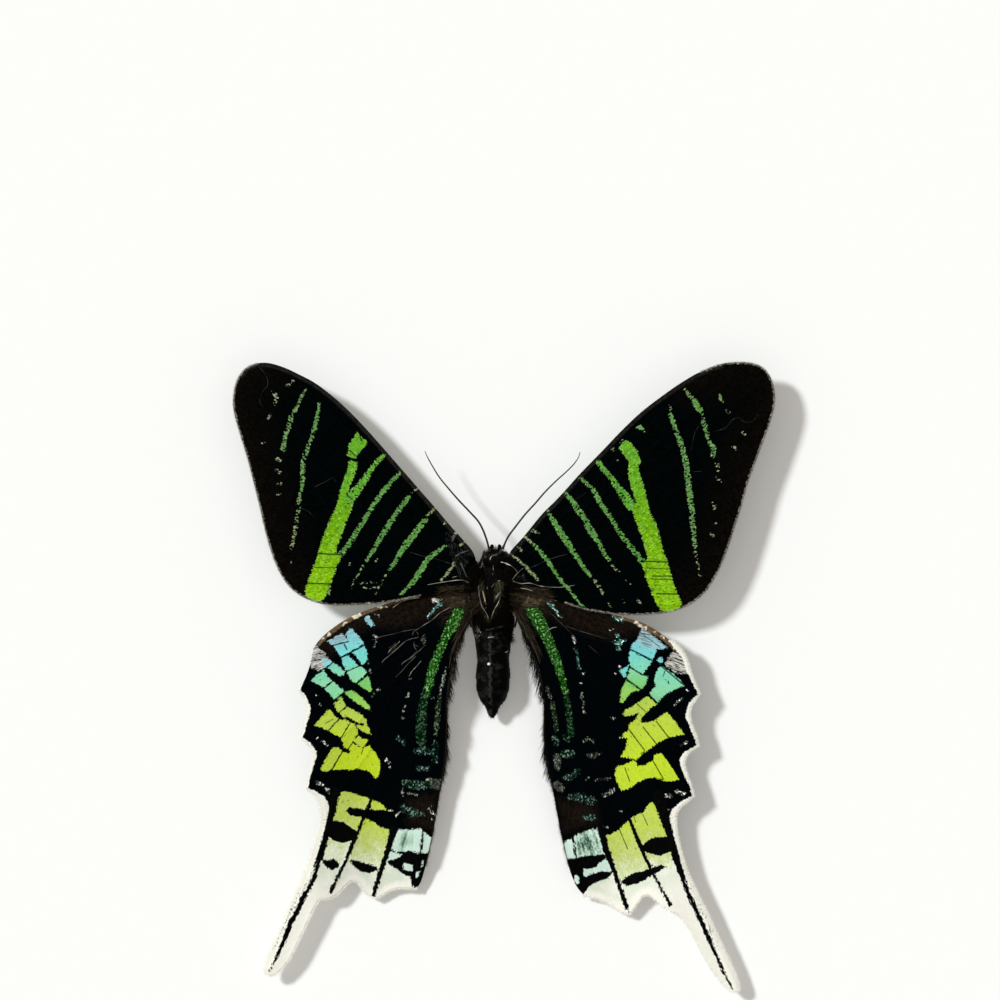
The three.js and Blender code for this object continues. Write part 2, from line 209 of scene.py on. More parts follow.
# Forewing markings. A band is (tone at its top, tone at its bottom, area). A streak is (line, width or
# widths, tone, share of its scales that are bright). Tones run from 0, grey, over green to 1, yellow-green.

FOREWING_BANDS = {"left": [
    (0.72, 0.74, at(357,432, 361,437, 366,440, 367,445, 361,451, 356,458, 352,459, 347,455, 349,449,
     348,445, 352,440)),
    (0.72, 1, at(349,461, 347,472, 343,482, 339,495, 337,505, 332,515, 328,525, 323,538, 319,550, 315,562,
     309,578, 305,590, 306,597, 312,601, 321,601.5, 326,597, 330,587, 335,573, 339,562, 343,556, 336,553,
     338,545, 342,535, 346,523, 351,512, 353,506, 346,498, 350,487, 355,475, 358,462)),
], "right": [
    (0.72, 1, at(618,448, 624,455, 629,463, 628,475, 631,488, 636,503, 628,503, 632,512, 636,523, 641,535,
     645,548, 648,559, 641,561, 643,568, 646,580, 651,592, 655,602, 661,611, 670,613, 679,609, 682,604,
     679,597, 675,588, 671,575, 668,563, 663,550, 660,538, 656,524, 650,512, 647,500, 644,487, 640,475,
     638,465, 641,461, 637,451, 630,442, 626,440)),
    (0.5, 0.5, at(636,428, 640,425, 644,429, 646,433, 641,430)),
    (0.3, 0.3, at(718,394, 721,395, 723,403, 719,401)),
]}
FOREWING_STREAKS = {"left": [
    (at(348,501, 357,490, 364,481, 371,470, 378,461, 384,455), (11, 8, 5, 4), 0.66, 0.9),
    (at(341,554, 350,543, 358,530, 366,517, 375,503, 384,491, 390,484, 400,473), (5, 4.5, 4, 5, 3.5), 0.5,
     0.85), (at(406,470, 409,475), (3, 2), 0.1, 0.7), (at(357,578, 363,566), (1.5, 2), 0.25, 0.6),
    (at(367,560, 376,546, 383,534, 390,523, 397,512, 404,503, 409,497), (3, 4, 5.5, 5, 4), 0.48, 0.85),
    (at(411,494, 418,488), 2, 0.1, 0.6), (at(376,594, 383,580, 388,572), (1.5, 2.5), 0.15, 0.55),
    (at(390,569, 399,556, 405,546, 412,537, 419,528, 425,520), (3.5, 5, 6, 6, 5), 0.5, 0.9),
    (at(427,516, 431,512, 436,506), (2.5, 2), 0.12, 0.75),
    (at(399,596, 406,589, 414,581, 421,570, 429,558, 437,552, 445,545.5), (2, 3.5, 6, 5, 4.5, 3), 0.5, 0.9),
    (at(441,580.5, 445,576, 449,571, 452,567, 455,563), (1.6, 2, 2.5, 3, 3.5), 0.1, 0.8),
    (at(444,524, 448,520), 2.2, 0.05, 0.8), (at(452,538, 457,532), (2.4, 2.2), 0.05, 0.8),
    (at(460,545, 465,541), (2.6, 2), 0.08, 0.8),
    (at(319,404, 318,413, 315,427, 311,440, 306,453, 303,467, 303,480, 301,491), (2.5, 4.5, 4.5, 3, 4.5,
     4.5, 4, 3.5), 0.42, 0.78), (at(300,495, 298,512, 297,522), (4, 3.5, 3), 0.3, 0.62),
    (at(296,526, 294,537, 292,548), (4, 4, 3), 0.12, 0.5),
    (at(306,389, 300,400, 294,413), (2.5, 3.5, 3), 0.28, 0.7),
    (at(291,418, 289,426, 285,438, 283,449), (5, 5, 3.5, 5.5), 0.36, 0.72),
    (at(296,377, 291,384, 287,386), (1.5, 2, 3), 0.05, 0.6),
    (at(273,392, 277,397, 275,405), (3, 4, 2), 0.05, 0.6), (at(268,419, 271,416), 3, 0, 0.65),
    (at(276,459, 280,460), 3, 0, 0.6), (at(275,469, 280,472), (2, 3), 0, 0.6),
    (at(278,484, 281,484), (2, 2.5), 0, 0.6), (at(278,495, 280,494), 2, 0, 0.6),
    (at(262,443, 266,443), 1.5, 0, 0.4), (at(288,559, 291,562), (1.5, 2), 0, 0.4),
    (at(330,586, 328,594), (2.5, 3.5), 0.3, 0.4), (at(360,583, 372,582, 385,584), (1.3, 1.6, 1.3), 0, 0.4),
    (at(360,587, 372,588, 384,586), (1.3, 1.6, 1.3), 0, 0.4), (at(354,580, 352,588), 1.5, 0.05, 0.4),
    (at(375,562, 377,560), (2, 2.5), 0, 0.6), (at(348,567, 350,563), 1.5, 0, 0.4),
], "right": [
    (at(598,462, 604,470, 612,479, 618,488, 624,496, 631,506), (4, 5, 5, 6.5, 9, 10), 0.62, 0.9),
    (at(580,478, 588,484, 595,493, 601,504, 609,515, 617,528, 625,540, 633,550, 642,561), (3, 4, 5, 4, 4,
     4.5, 5, 6), 0.5, 0.85),
    (at(565,493, 572,501, 578,510, 584,518, 590,530, 597,540, 603,551, 609,560), (3, 5, 5.5, 5.5, 7, 5, 4,
     3.5), 0.48, 0.85), (at(612,564, 615,568, 619,572), (2.5, 1.5), 0.1, 0.5),
    (at(624,579, 630,584), 1.6, 0, 0.4),
    (at(547,511, 552,519, 559,530, 567,542, 574,553, 582,565, 590,576), (3, 5, 6, 6, 4.5, 4, 3), 0.5, 0.9),
    (at(594,580, 600,588, 603,595), (3, 3, 2), 0.2, 0.55), (at(607,600, 611,607), (1.6, 1.5), 0.05, 0.4),
    (at(525,537, 531,542), 2.5, 0.08, 0.9),
    (at(533,544.5, 538,549, 547,560, 555,572, 563,583, 570,590.5, 577,600, 583,607), (3, 4, 4, 3.8, 3.5,
     3.2, 3, 2.2), 0.5, 0.9), (at(509,553, 512,555, 516,558, 522,563.5), (1.8, 2.2, 2.2, 1.8), 0.1, 0.9),
    (at(525,566, 528,568.5, 532,573, 536,578, 538,581), (3, 3.5, 2.6, 2.4, 2), 0.12, 0.85),
    (at(532,530, 538,533), (2.2, 2.4), 0.05, 0.8), (at(518,547, 522,551), (2.4, 2.2), 0.05, 0.85),
    (at(503,562, 508,564), 2.2, 0.02, 0.9), (at(669,406, 671,410), (2, 3), 0.1, 0.6),
    (at(670,415, 675,428, 680,442, 684,455, 687,470, 688,485, 690,498, 692,513), (4.5, 4.5, 5, 5, 6, 6, 6,
     4.5), 0.42, 0.78), (at(692,518, 693,528, 694,538, 695,546), (5, 5, 4, 4.5), 0.35, 0.7),
    (at(695,552, 697,563, 700,576), (3, 2.5, 2.5), 0.1, 0.45), (at(685,390, 692,399), (2.5, 4), 0.3, 0.7),
    (at(694,401, 698,407, 701,413), (6, 6, 4), 0.48, 0.85),
    (at(703,420, 705,428, 707,436, 710,444), (4, 5, 4, 4), 0.42, 0.74),
    (at(713,447, 713,456), (6, 5), 0.38, 0.7), (at(716,463, 718,470), (4, 3), 0.05, 0.5),
    (at(716,476, 720,483), (3.5, 3), 0.05, 0.45), (at(714,503, 714,508), (4, 3), 0.05, 0.5),
    (at(713,523, 716,524), 2, 0, 0.5), (at(711,534, 713,536), (2.4, 2), 0, 0.6),
    (at(726,411, 729,413), 2, 0, 0.6), (at(742,432, 745,435), (2.2, 2), 0, 0.55),
    (at(733,447, 736,449), (2.2, 2), 0, 0.55), (at(620,443, 623,440), 2, 0.1, 0.7),
    (at(612,450, 614,449), 1.8, 0, 0.6), (at(617,460, 619,460), 2, 0, 0.7),
    (at(637,599, 642,606), (2.5, 1.5), 0.02, 0.5), (at(621,600, 624,602), 1.6, 0, 0.4),
    (at(717,497, 719,496), 1.5, 0, 0.4),
]}
FOREWING_CUTS = {"left": [
    (316,553.5, 343,554.5, 1.3), (308,583, 333,584, 1.3), (312,567, 338,568, 0.7), (350,450, 356,456, 1.2),
    (360,437, 362,441, 1.6), (348,457, 358,460, 1.3),
], "right": [
    (641,561, 668,562, 1.2), (652,576, 673,576, 1.1), (654,579, 673,579.5, 0.8), (656,593.5, 678,594, 1.3),
    (645,568, 670,569, 0.7),
]}

# Hindwing markings. A patch is (tone at its top, tone at its bottom, area), with tones from 0, grey-blue,
# over turquoise, green and yellow-green to 1, white. Ink is what is black on top of them.

HINDWING_PATCHES = {"left": [
    (0.02, 0.12, at(327,642, 336,636.5, 342,632.5, 345,637, 348,641, 340,643, 333,645)),
    (0.12, 0.2, at(333,646, 340,644, 348,642, 346,634, 350,627, 354,631, 359,637, 364,644, 352,650.5,
     341,657)), (0.1, 0.16, at(364,617.5, 369,615.5, 371,620, 374.5,625, 371,627.5, 366.5,622)),
    (0.2, 0.3, at(352,652, 364,645.5, 367,652, 368,659, 363,664.5, 361,664, 357,657)),
    (0.2, 0.36, at(341.5,658, 348,655, 353,660, 358,666, 346,671.5, 343,664)),
    (0.38, 0.46, at(346.5,672, 358,666.5, 362,667, 367,672.5, 356,683.5, 350,679)),
    (0.5, 0.6, at(357.5,684, 367.5,675, 370,680, 372,692, 369,692, 362,687)),
    (0, 0.24, at(320,656, 325,657, 332,662, 325.5,668, 322,663)),
    (0.32, 0.4, at(327,667.5, 333,662.5, 340,667, 345,672.5, 343,675.5, 339,676, 334,673)),
    (0.38, 0.42, at(311,680.5, 318,674, 324,670, 327,676, 332,681, 324,687.5, 317,684)),
    (0.42, 0.46, at(324.5,688.5, 333,681.5, 338,686, 345,691, 340,695.5, 334.5,700, 330,695)),
    (0.58, 0.62, at(345,693, 350,690, 356,693, 363,699, 369,706, 371,711, 365,708, 358,704, 351,699)),
    (0.66, 0.7, at(334,704, 338,700, 341.5,697, 346,706, 343,710, 338,713, 335,708)),
    (0.68, 0.7, at(339,713, 347,707, 355,711, 362,715, 366,720, 366,724, 361,724, 354,721, 348,717,
     343,718)), (0.72, 0.7, at(314,726, 320,719, 329,709, 333,714, 338.5,719, 328,731, 322,728)),
    (0.72, 0.76, at(329,731, 339,719.5, 344,720, 350,722, 341,738, 335,735)),
    (0.74, 0.78, at(341,738.5, 350.5,722.5, 354,724, 357,730, 358,734, 353,742, 348,749, 344,748)),
    (0.72, 0.75, at(354,725, 360,726, 367,724.5, 369,730, 371,735, 366,734, 360,730)),
    (0.72, 0.77, at(353,742, 358,736, 362,739, 368,740, 366,744, 363,748, 357,746)),
    (0.72, 0.74, at(320,770, 327,757, 333,747, 338,748, 342,751, 337,760, 331,770, 326,772)),
    (0.78, 0.8, at(332,770, 342,752, 348,754, 350,753, 349,748, 353,743, 357,747, 363,748.5, 369,746,
     376,755, 380,763, 380,770, 378,778, 375,780, 371,774, 366,771, 358,769, 350,770.5, 340,770)),
    (0.88, 0.91, at(338,792.5, 346,792, 356,795, 370,799.5, 366,810.5, 356,809, 349,808, 346,812, 350,816,
     356,817, 363,818.5, 357,833, 350,828, 343,823, 335,822, 331,822)),
    (0.86, 0.88, at(371,800.5, 380,804, 388,811, 380,811, 370,810)),
    (0.86, 0.985, at(364,819, 372,822, 380,828, 386,830, 391,831, 388,850, 384,862, 380,874, 366,873,
     354,868, 345,863, 355,840)),
    (0.955, 0.99, at(327,836, 334,841, 343,843.5, 351,841, 346,855, 339,866, 320,866, 324,850)),
], "right": [
    (0, 0.12, at(642,628, 648,632, 655,637, 662,643, 668,648, 663,649, 657,649.5, 652,651, 640,644,
     637,639)), (0.12, 0.24, at(637,639, 645,646, 657,650, 653,660, 646,657.5, 630,649.5, 632,645)),
    (0.24, 0.4, at(630,650.5, 640,655.5, 652,661, 648,668, 642,674, 637,671.5, 631,667, 629,660)),
    (0.42, 0.56, at(630,668, 637,672.5, 642,675, 648,676.5, 646,684, 641,690, 633,685, 627,679, 629,674)),
    (0.56, 0.63, at(626.5,680, 633,686, 640,690.5, 632,692, 627,697, 623,703, 620,702, 621,691)),
    (0.2, 0.3, at(619,671, 626,667, 629,665, 627,670, 625,678, 621,673)),
    (0.34, 0.46, at(660,666, 665,668, 672,673, 679,679, 685,686, 679,688, 672,691, 666,694, 660,700,
     657.5,703, 651,696, 650,693, 656,686, 654,679, 656,672)),
    (0.14, 0.2, at(659,657, 661,656, 663,661, 660,664, 657,661)),
    (0.68, 0.7, at(623,714, 626,710, 634,706, 643,699, 648,696.5, 657,704, 650,709, 645,714, 640,720,
     636,719, 639,713, 633,715, 626,717)),
    (0.72, 0.78, at(622,739, 624,734, 629,730, 629,725, 635,720, 639,719, 643,723, 650,722, 656,720,
     661,716, 667,712, 671,717, 677,724, 685,735, 675,736, 668,738, 660,742, 650,749, 643,754, 636,761,
     632,759, 621,758, 623,753, 626,749, 628,738)),
    (0.77, 0.77, at(616,770, 618,767, 625,765, 633,761.5, 636,762, 638,767, 644,766, 653,761, 654,756,
     661,753, 664,756, 671,767, 679,780, 672,782, 664,781, 655,778, 646,779, 638,783, 630,789, 621,792,
     618,784, 615,776)),
    (0.86, 0.97, at(604,836, 610,836, 620,830, 629,821, 634,835, 641,852, 650,870, 643,873, 632,876,
     624,882, 620,884, 612,862)),
    (0.87, 0.9, at(630.5,819, 638,815, 644,813, 647,808, 651,803, 656,803, 660,807, 664,825, 668,839,
     658,838, 649,841, 643,847)),
    (0.92, 0.985, at(643,852, 650,854, 660,856, 671,852, 673,862, 672,870, 664,870, 655,868, 650,864)),
]}
# The pale field of a hindwing's end and its teal corner: areas, and black spots and lines on them.
HINDWING_PALE = {"left": [
    at(345,858, 383,862, 385,866, 373,899, 366,905, 340,905, 300,985, 255,985, 290,915, 318,860),
    at(386,858, 396,861, 411,873, 417,886, 420,900, 365,910, 373,897),
], "right": [
    at(655,862, 671,858, 679,870, 700,905, 730,960, 750,990, 740,1005, 700,970, 680,925, 640,925, 627,909,
     618,880, 628,886, 645,881),
    at(584,890, 590,884, 602,880, 611,876, 614,872, 628,909, 630,925, 600,910, 578,900),
]}
HINDWING_TEAL = {"left": [
    at(394,838, 398,831, 405,830.5, 421,830, 431,839, 431,853, 421,855.5, 410,852, 395,853, 390,850),
    at(385,862, 390,852, 402,856, 398,861, 388,864), at(402,863, 413,866, 413,874, 403,871),
    at(415,873, 420,872, 419,879, 415,880), at(420.5,862, 424,860, 422.5,868, 420,869),
], "right": [
    at(574,838, 580,834, 590,831, 597,829, 601,838, 603,850, 605,855.5, 585,858, 578,860, 565,860, 563,845,
     567,841), at(583,870, 592,869, 600,862, 606,858, 613,873, 602,873, 590,876, 584,879),
    at(574,877, 577,875, 580,879, 580,885, 577,887, 574,882),
]}
HINDWING_PALE_TEAL = {"left": [
    at(414,828, 436,830, 436,880, 400,880, 400,862, 384,866, 388,848, 400,855, 412,855),
], "right": [
    at(555,832, 575,834, 580,861, 616,861, 616,890, 555,890),
]}
HINDWING_SPOTS = {"left": [
    at(330,822, 337,822, 344,824, 349,828, 356,834, 352,840, 343,843, 334,841, 328,836, 327,828),
    at(321,860, 327,862, 333,859.5, 339,864, 338,868, 332,870.5, 326,868),
    at(349,860.5, 356,862, 362,863.5, 370,866, 378,869.5, 374,873, 367,874.5, 360,873, 355,869),
    at(386,862, 396,861, 402,857, 408,852.5, 414,855, 420,858, 426,855, 429,854, 427,861, 419,866, 417,878,
     421,880, 420,885, 416,889, 411,886, 411,879, 404,876, 397,871, 391,867),
], "right": [
    at(642,848, 648,841.5, 655,838.5, 666,837.5, 673,843, 674,850, 668,853, 660,856, 650,853),
    at(622,884, 626,879, 634,874.5, 645,872, 654,868.5, 661,865.5, 667,867.5, 661,871, 652,876, 645,881,
     636,885, 627,887),
    at(566,862, 574,861, 580,859, 588,857, 595,858, 604,856, 606,859, 600,864, 595,869, 589,870, 584,869,
     580,876, 582,884, 590,878, 602,873.5, 612,874.5, 608,880, 598,883, 590,888, 586,893, 582,896, 576,891,
     571,876),
]}
# Veins over the pale end: (line, widths)
HINDWING_VEINS = {"left": [
    (at(335,792, 333,800, 332.5,810, 330,820, 325.5,840, 323.5,850, 319.5,860, 316.5,870, 313,880, 308,890,
     302,900, 297.5,910, 290,925, 280,950, 269,972),
     (11, 8, 5, 4, 3.6, 3.6, 3.6, 4, 4.2, 4.6, 4.6, 4, 3.2, 2.2, 1)),
    (at(371,799, 362,821, 354,842, 346,861, 337,879, 330,893), (1.6, 2.4, 2.6, 2.4, 3, 2.6)),
    (at(393,830, 389,845, 384,862, 378,880, 373,897), (7, 5, 4.5, 4, 4)),
    (at(423,830, 421,848, 418,870, 415,887), (1.4, 1.8, 4, 5)),
], "right": [
    (at(659,798, 663,812, 668,828, 673,845, 679,868, 687,890, 697,912, 706,932, 716,955, 725,975, 733,990),
     (13, 9, 6, 5, 3.8, 4, 4.2, 4, 3.2, 2.2, 1)),
    (at(630,820, 641,848, 652,872, 663,892, 671,906), (2, 2.8, 2, 2.4, 2.8)),
    (at(602,832, 607,850, 612,864, 619,885, 627,909), (7, 5, 4, 4, 4.5)),
    (at(573,838, 577,862), (1.6, 1.8)),
]}
# Where scales fray out beside the veins that run into the tails.
HINDWING_FRAYS = {
    "left": (at(330,794, 328.5,806, 327,818, 323,836, 321,850, 313,869, 308,881, 301,892, 293,906, 285,923,
        277,942, 271,955), (5, 5, 4, 2, 1.5, 3, 4, 7, 7, 6, 5, 2)),
    "right": (at(666,800, 670,812, 672,828, 675,846, 678,862, 685,878, 694,896, 703,914, 712,934, 719,950),
        (5, 4, 3, 1.5, 1, 2.5, 4, 6, 6, 2)),
}
# Straight hairline veins across the coloured patches: (x,y of one end, x,y of the other, width)
HINDWING_CUTS = {"left": [
    (333,645.5, 349,641.5, 0.9), (341,657.6, 364.5,645, 1.4), (346,672, 359,666, 0.9),
    (326,668.5, 333,662, 1.3), (356.5,684, 368,674.5, 1.2), (324,688.5, 333,681, 1.1),
    (334,700.5, 345.5,691, 1.2), (338,713.5, 347,706, 0.9), (328,731, 339,719, 1.1),
    (340.5,738.5, 351,722, 1), (331.5,770.5, 342.5,751.5, 1.2), (325,723.5, 333,719.5, 0.7),
    (344,644, 347,650, 1.3), (348,749, 353,742.5, 0.8), (361,755, 363,748, 0.7),
], "right": [
    (630,649, 653,660.5, 1.4), (629.5,667, 643,675, 1.3), (626,678.5, 642,690.5, 1.4),
    (660,665, 685,686, 1.3), (649,695, 658,703.5, 1.3), (637,704, 646,712, 0.8), (628.5,729, 645,751, 1.2),
    (643,727, 658,746, 1), (656,721, 669,738, 1.1), (653,761, 664,780, 1), (625,768, 630,782, 0.8),
    (620,831, 628,850, 0.8), (634,817, 636,823, 0.7), (643,815, 648,826, 0.8), (641,633, 660,647, 0.6),
    (665,671, 663,677, 0.8), (668,681, 669,684, 1.2), (645,752, 641,754, 0.9),
]}
# Dusted marks: (line, widths, tone, share). Tones run from 0, teal, over green to 1, pale grey.
HINDWING_DUST = {"left": [
    (at(460,608, 455,620, 447,634, 441,648, 434,665, 430,680, 426,695), (10, 12, 9, 8, 9, 8, 7), 0.52, 1),
    (at(426,690, 423,705, 421,722, 421,742), (7, 8, 10, 9), 0.3, 1),
    (at(446,668, 443,680, 440.5,692, 439,700), (1.5, 2.5, 2.5, 2.5), 0.75, 0.6),
    (at(439,700, 437,718, 436,734), (4, 5, 4), 0.36, 1), (at(435,744, 435,762), 6, 0.2, 0.45),
    (at(417,752, 424,751, 430,753), (6, 9, 5), 0.12, 0.75), (at(418,769, 427,769), (5, 4.5), 0.12, 0.9),
    (at(404,783, 415,786, 428,785), (5, 9, 7), 0.2, 0.7), (at(405,781, 409,784), 3, 0.88, 0.6),
    (at(427,781, 430,780), (3, 2), 0.85, 0.7), (at(402,797, 403,790), 2.4, 0.85, 0.45),
    (at(433,785, 440,785), 10, 0.62, 0.9), (at(408,794, 417,796), 1.8, 0.8, 0.6),
    (at(402,807, 408,812, 423,815), (4, 9, 5), 0.12, 0.75), (at(396,817, 399,813), (2.4, 2), 0.95, 0.8),
    (at(389,811, 392,812), (2, 1.5), 0.9, 0.8),
    (at(428,809, 432,807, 431,813, 435,816), (2, 2, 2, 2.5), 0.88, 0.5),
    (at(432,820, 433,820), 2, 0.85, 0.5), (at(441.5,603, 437,607), (3.6, 2.8), 0, 0.55),
    (at(434,609.5, 430.5,614), (1.8, 1.6), 0, 0.9), (at(428.5,616.5, 427.5,618), (1.3, 1.2), 0, 0.8),
    (at(434,600, 438,600.5, 443,598), (5, 4.5, 1.5), 1, 0.95), (at(376,614, 379,616), 2.5, 0.95, 0.8),
    (at(374,636, 377,638), (3, 2.5), 0.9, 0.7), (at(376,642, 374,647), (1.4, 1.2), 0.8, 0.5),
    (at(423,638, 424,644), (4, 3), 0.62, 0.5), (at(368,663, 369,663), 2.2, 0.8, 0.7),
    (at(370,670, 371,672), 1.8, 0.8, 0.6), (at(377,690, 379,689), 2.2, 0.95, 0.8),
    (at(372,696, 374,694), 2, 0.55, 0.6), (at(408,680, 410,679), (2.2, 2), 0.95, 0.7),
    (at(407,697, 408.5,694), (1.5, 1.4), 0.8, 0.8), (at(404.6,706, 404.8,707), 1.4, 0.8, 0.9),
    (at(403.4,711, 404,712), (1.5, 1.4), 0.85, 0.9), (at(402.4,718, 403,718), 1.3, 0.72, 0.9),
    (at(432,698, 433,699), 2, 0.8, 0.6), (at(398,738, 402,742, 404,746), (4, 5, 2), 0.2, 0.6),
    (at(387,761, 389,763), (4, 2.5), 0.9, 0.6), (at(389,768, 390,768), 2.2, 0.95, 0.7),
    (at(317,738, 318,739), (2.5, 2), 0.95, 0.8), (at(322,741, 328,745), 2.5, 0.95, 0.55),
    (at(316,695, 317,695), 1.6, 0.9, 0.5), (at(319,704, 320,705), 1.6, 0.9, 0.4),
    (at(316,783, 322,785), (3, 2.5), 0.97, 0.6), (at(325,789, 332,795, 333,805), (4, 7, 5), 0.97, 0.36),
], "right": [
    (at(531,608, 538,620, 545,634, 552,650, 559,668, 564,686, 567,700), (12, 13, 10, 9, 8, 6, 5), 0.52, 1),
    (at(566,694, 569,712, 571,735), (6, 6, 7), 0.3, 1), (at(547,688, 550,698), 3, 0.62, 0.8),
    (at(552,702, 555,720, 556,730), 4, 0.36, 0.9), (at(555,738, 557,744), (6, 5), 0.2, 0.6),
    (at(565,738, 568,740), 5, 0.2, 0.7), (at(566,755, 571,755), (9, 8), 0.2, 0.7),
    (at(557,757, 558,768), (7, 6), 0.62, 0.9), (at(565,778, 572,777, 578,772), (5, 6, 5), 0.16, 0.8),
    (at(557,786, 561,789), (8, 7), 0.62, 0.9), (at(570,798, 580,798, 592,802), (6, 9, 8), 0.12, 0.7),
    (at(586,818, 594,819), 6, 0.12, 0.8), (at(549,602, 553,606), (4.5, 3.4), 0, 0.55),
    (at(554.5,609, 557,612), (2, 1.8), 0, 0.8), (at(559,615, 561,617), 1.6, 0, 0.8),
    (at(549,597.5, 553,599, 557,601), (3, 3, 1.5), 0.97, 0.9), (at(614,617, 622,620), (4, 5), 0.04, 0.7),
    (at(609,630, 613,630), (2.2, 2), 0.97, 0.8), (at(616,634, 620,640, 618,648), (3, 3, 5), 0.03, 0.8),
    (at(614,643, 624,641), 3.5, 0.03, 0.8), (at(573,636, 575,643), (2.6, 2), 0.9, 0.8),
    (at(575,648, 577,655, 578,662, 580,669), (3, 2, 2, 2.5), 0.1, 0.8),
    (at(582,674, 584,674), 2.2, 0.97, 0.8), (at(580,683, 581,683), 2.2, 0.97, 0.8),
    (at(582,694, 582,697), (2.4, 2.2), 0.72, 0.8), (at(583.5,701, 583.5,708), (1.8, 1.6), 0.72, 0.7),
    (at(584,712, 587,714), (2, 1.8), 0.9, 0.6), (at(584,741, 590,739, 594,743), (2.6, 3, 2.4), 0.7, 0.5),
    (at(588,756, 593,757, 599,754), (3, 5, 2), 0.66, 0.5), (at(600,754, 601,754), 1.8, 0.9, 0.5),
    (at(612,718, 614,719), (2.4, 2.2), 0.97, 0.8), (at(619,738, 620,738), 2, 0.9, 0.6),
    (at(615,673, 616,674), 2.2, 0.97, 0.8), (at(619,667, 621,669), 2.4, 0.9, 0.7),
    (at(587,780, 590,778), (2.6, 2.2), 0.6, 0.4), (at(597,781, 610,779), (1.6, 2.4), 0.8, 0.4),
    (at(604,796, 609,794, 614,790), (3, 4, 3), 0.8, 0.45), (at(604,829, 608,828), (2, 2.2), 0.97, 0.6),
    (at(620,811, 622,812), 2, 0.9, 0.5), (at(674,706, 677,702, 682,699), (2, 2, 2.4), 0.97, 0.5),
    (at(687,690, 688,691), 1.8, 0.97, 0.8), (at(681,745, 687,742), 3, 0.97, 0.3),
    (at(660,799, 666,796, 671,796), (4, 5, 4), 0.97, 0.5), (at(677,792, 684,794), 4, 0.97, 0.5),
    (at(664,808, 668,810), (4, 3), 0.97, 0.25),
]}
# The front edge's tan strip, the dark brown of the wing's base and the inner edge of the white fringe.
HINDWING_TAN = {
    "left": (at(404,599, 390,603.5, 372,609, 356,615.5, 341,624.5, 328,634.5, 318,645),
        (3, 5, 6, 6, 5.5, 5, 3)),
    "right": (at(616,616, 630,619, 642,623, 653,630, 664,638, 674,647, 682,656), (3, 6, 9, 8, 6, 5, 4)),
}
# Corners by the front edge where pale hairs lie over the brown.
HINDWING_HAIRY = {
    "left": [(300, 654), (316, 645), (324, 652), (330, 661), (326, 667), (319, 671), (312, 668)],
    "right": [(664, 664), (671, 654), (678, 650), (688, 664), (687, 674), (681, 674), (675, 672)],
}
HINDWING_BROWN = {"left": [
    at(480,596, 440,586, 400,592, 365,603, 342,620, 322,646, 330,656, 350,636, 372,626, 395,628, 420,622,
     440,614, 462,606, 470,610), at(406,800, 436,796, 434,832, 408,824),
], "right": [
    at(508,596, 540,590, 580,598, 620,612, 646,622, 660,632, 650,636, 636,632, 612,640, 585,632, 560,622,
     535,606, 520,614), at(558,800, 596,806, 598,824, 564,832),
]}
HINDWING_FRINGE = {
    "left": at(240,648, 313,650, 309,667, 305,677, 300,690, 305,695, 310,706, 310.5,712, 308,720, 302.5,738,
        311,744, 316.5,752, 316,758, 311,773, 308,788.5, 316,792, 325,798, 329,806, 328,815, 323,835,
        317,855, 309,879, 299,901, 289,926, 279,951, 268,975, 240,985),
    "right": at(760,640, 680,650, 683,657, 685,668, 690,678, 695,688, 698,694, 690,702, 686,712, 686,717,
        690,727, 694,737, 697,746, 690,749, 684,753, 680,760, 681,767, 685,777, 690,787, 692,796, 680,803,
        672,810, 669,818, 671,828, 674,838, 677,848, 681,862, 689,888, 699,913, 709,936, 719,958, 735,990,
        760,1000),
}
HINDWING_FRONT_EDGE_WHITE = at(668,640, 680,636, 712,700, 697,690, 688,672, 683,659, 676,650)

# Raised veins, for the left wings. The right wings' veins are fitted to them by three corners.
FOREWING_RIDGES = [
    at(476,570, 455,546, 430,520, 400,486, 360,440, 322,402, 290,380),
    at(478,572, 440,541, 405,508, 372,478, 335,438, 300,403, 270,376),
    at(372,478, 330,450, 285,416, 245,380), at(369,486, 320,464, 275,438, 236,410),
    at(363,497, 310,486, 270,468, 244,450), at(363,500, 315,506, 280,502, 254,488),
    at(366,517, 330,530, 295,531, 263,523), at(380,534, 343,554, 316,553.5, 270,549),
    at(405,552, 370,572, 333,584, 308,583, 284,579),
    at(372,478, 362,498, 366,517, 380,534, 405,552, 440,571, 478,580),
    at(478,583, 430,588, 380,596, 330,600, 312,598),
]
HINDWING_RIDGES = [
    at(476,602, 430,600, 390,610, 350,627, 320,650),
    at(474,604, 455,618, 410,634, 364,645, 341,657.6, 324,670, 300,689),
    at(450,624, 405,655, 367,675, 345,692, 327,710, 302,737),
    at(405,655, 392,685, 365,715, 340,739, 322,765, 307,788),
    at(392,685, 380,730, 356,770, 337,794, 329,820, 317,860, 300,900, 269,972),
    at(404,705, 395,745, 371,799, 354,842, 330,893),
    at(470,610, 440,660, 424,705, 408,780, 393,830, 384,862, 373,897), at(392,685, 404,705, 424,705),
    at(474,610, 455,650, 443,700, 432,770, 423,830, 415,887),
]
FOREWING_CORNERS = {"left": at(476,575, 245,368, 290,588), "right": at(508,575, 764,367, 704,594)}
HINDWING_CORNERS = {"left": at(476,602, 268,975, 300,689), "right": at(510,602, 738,990, 698,694)}


# Node graphs


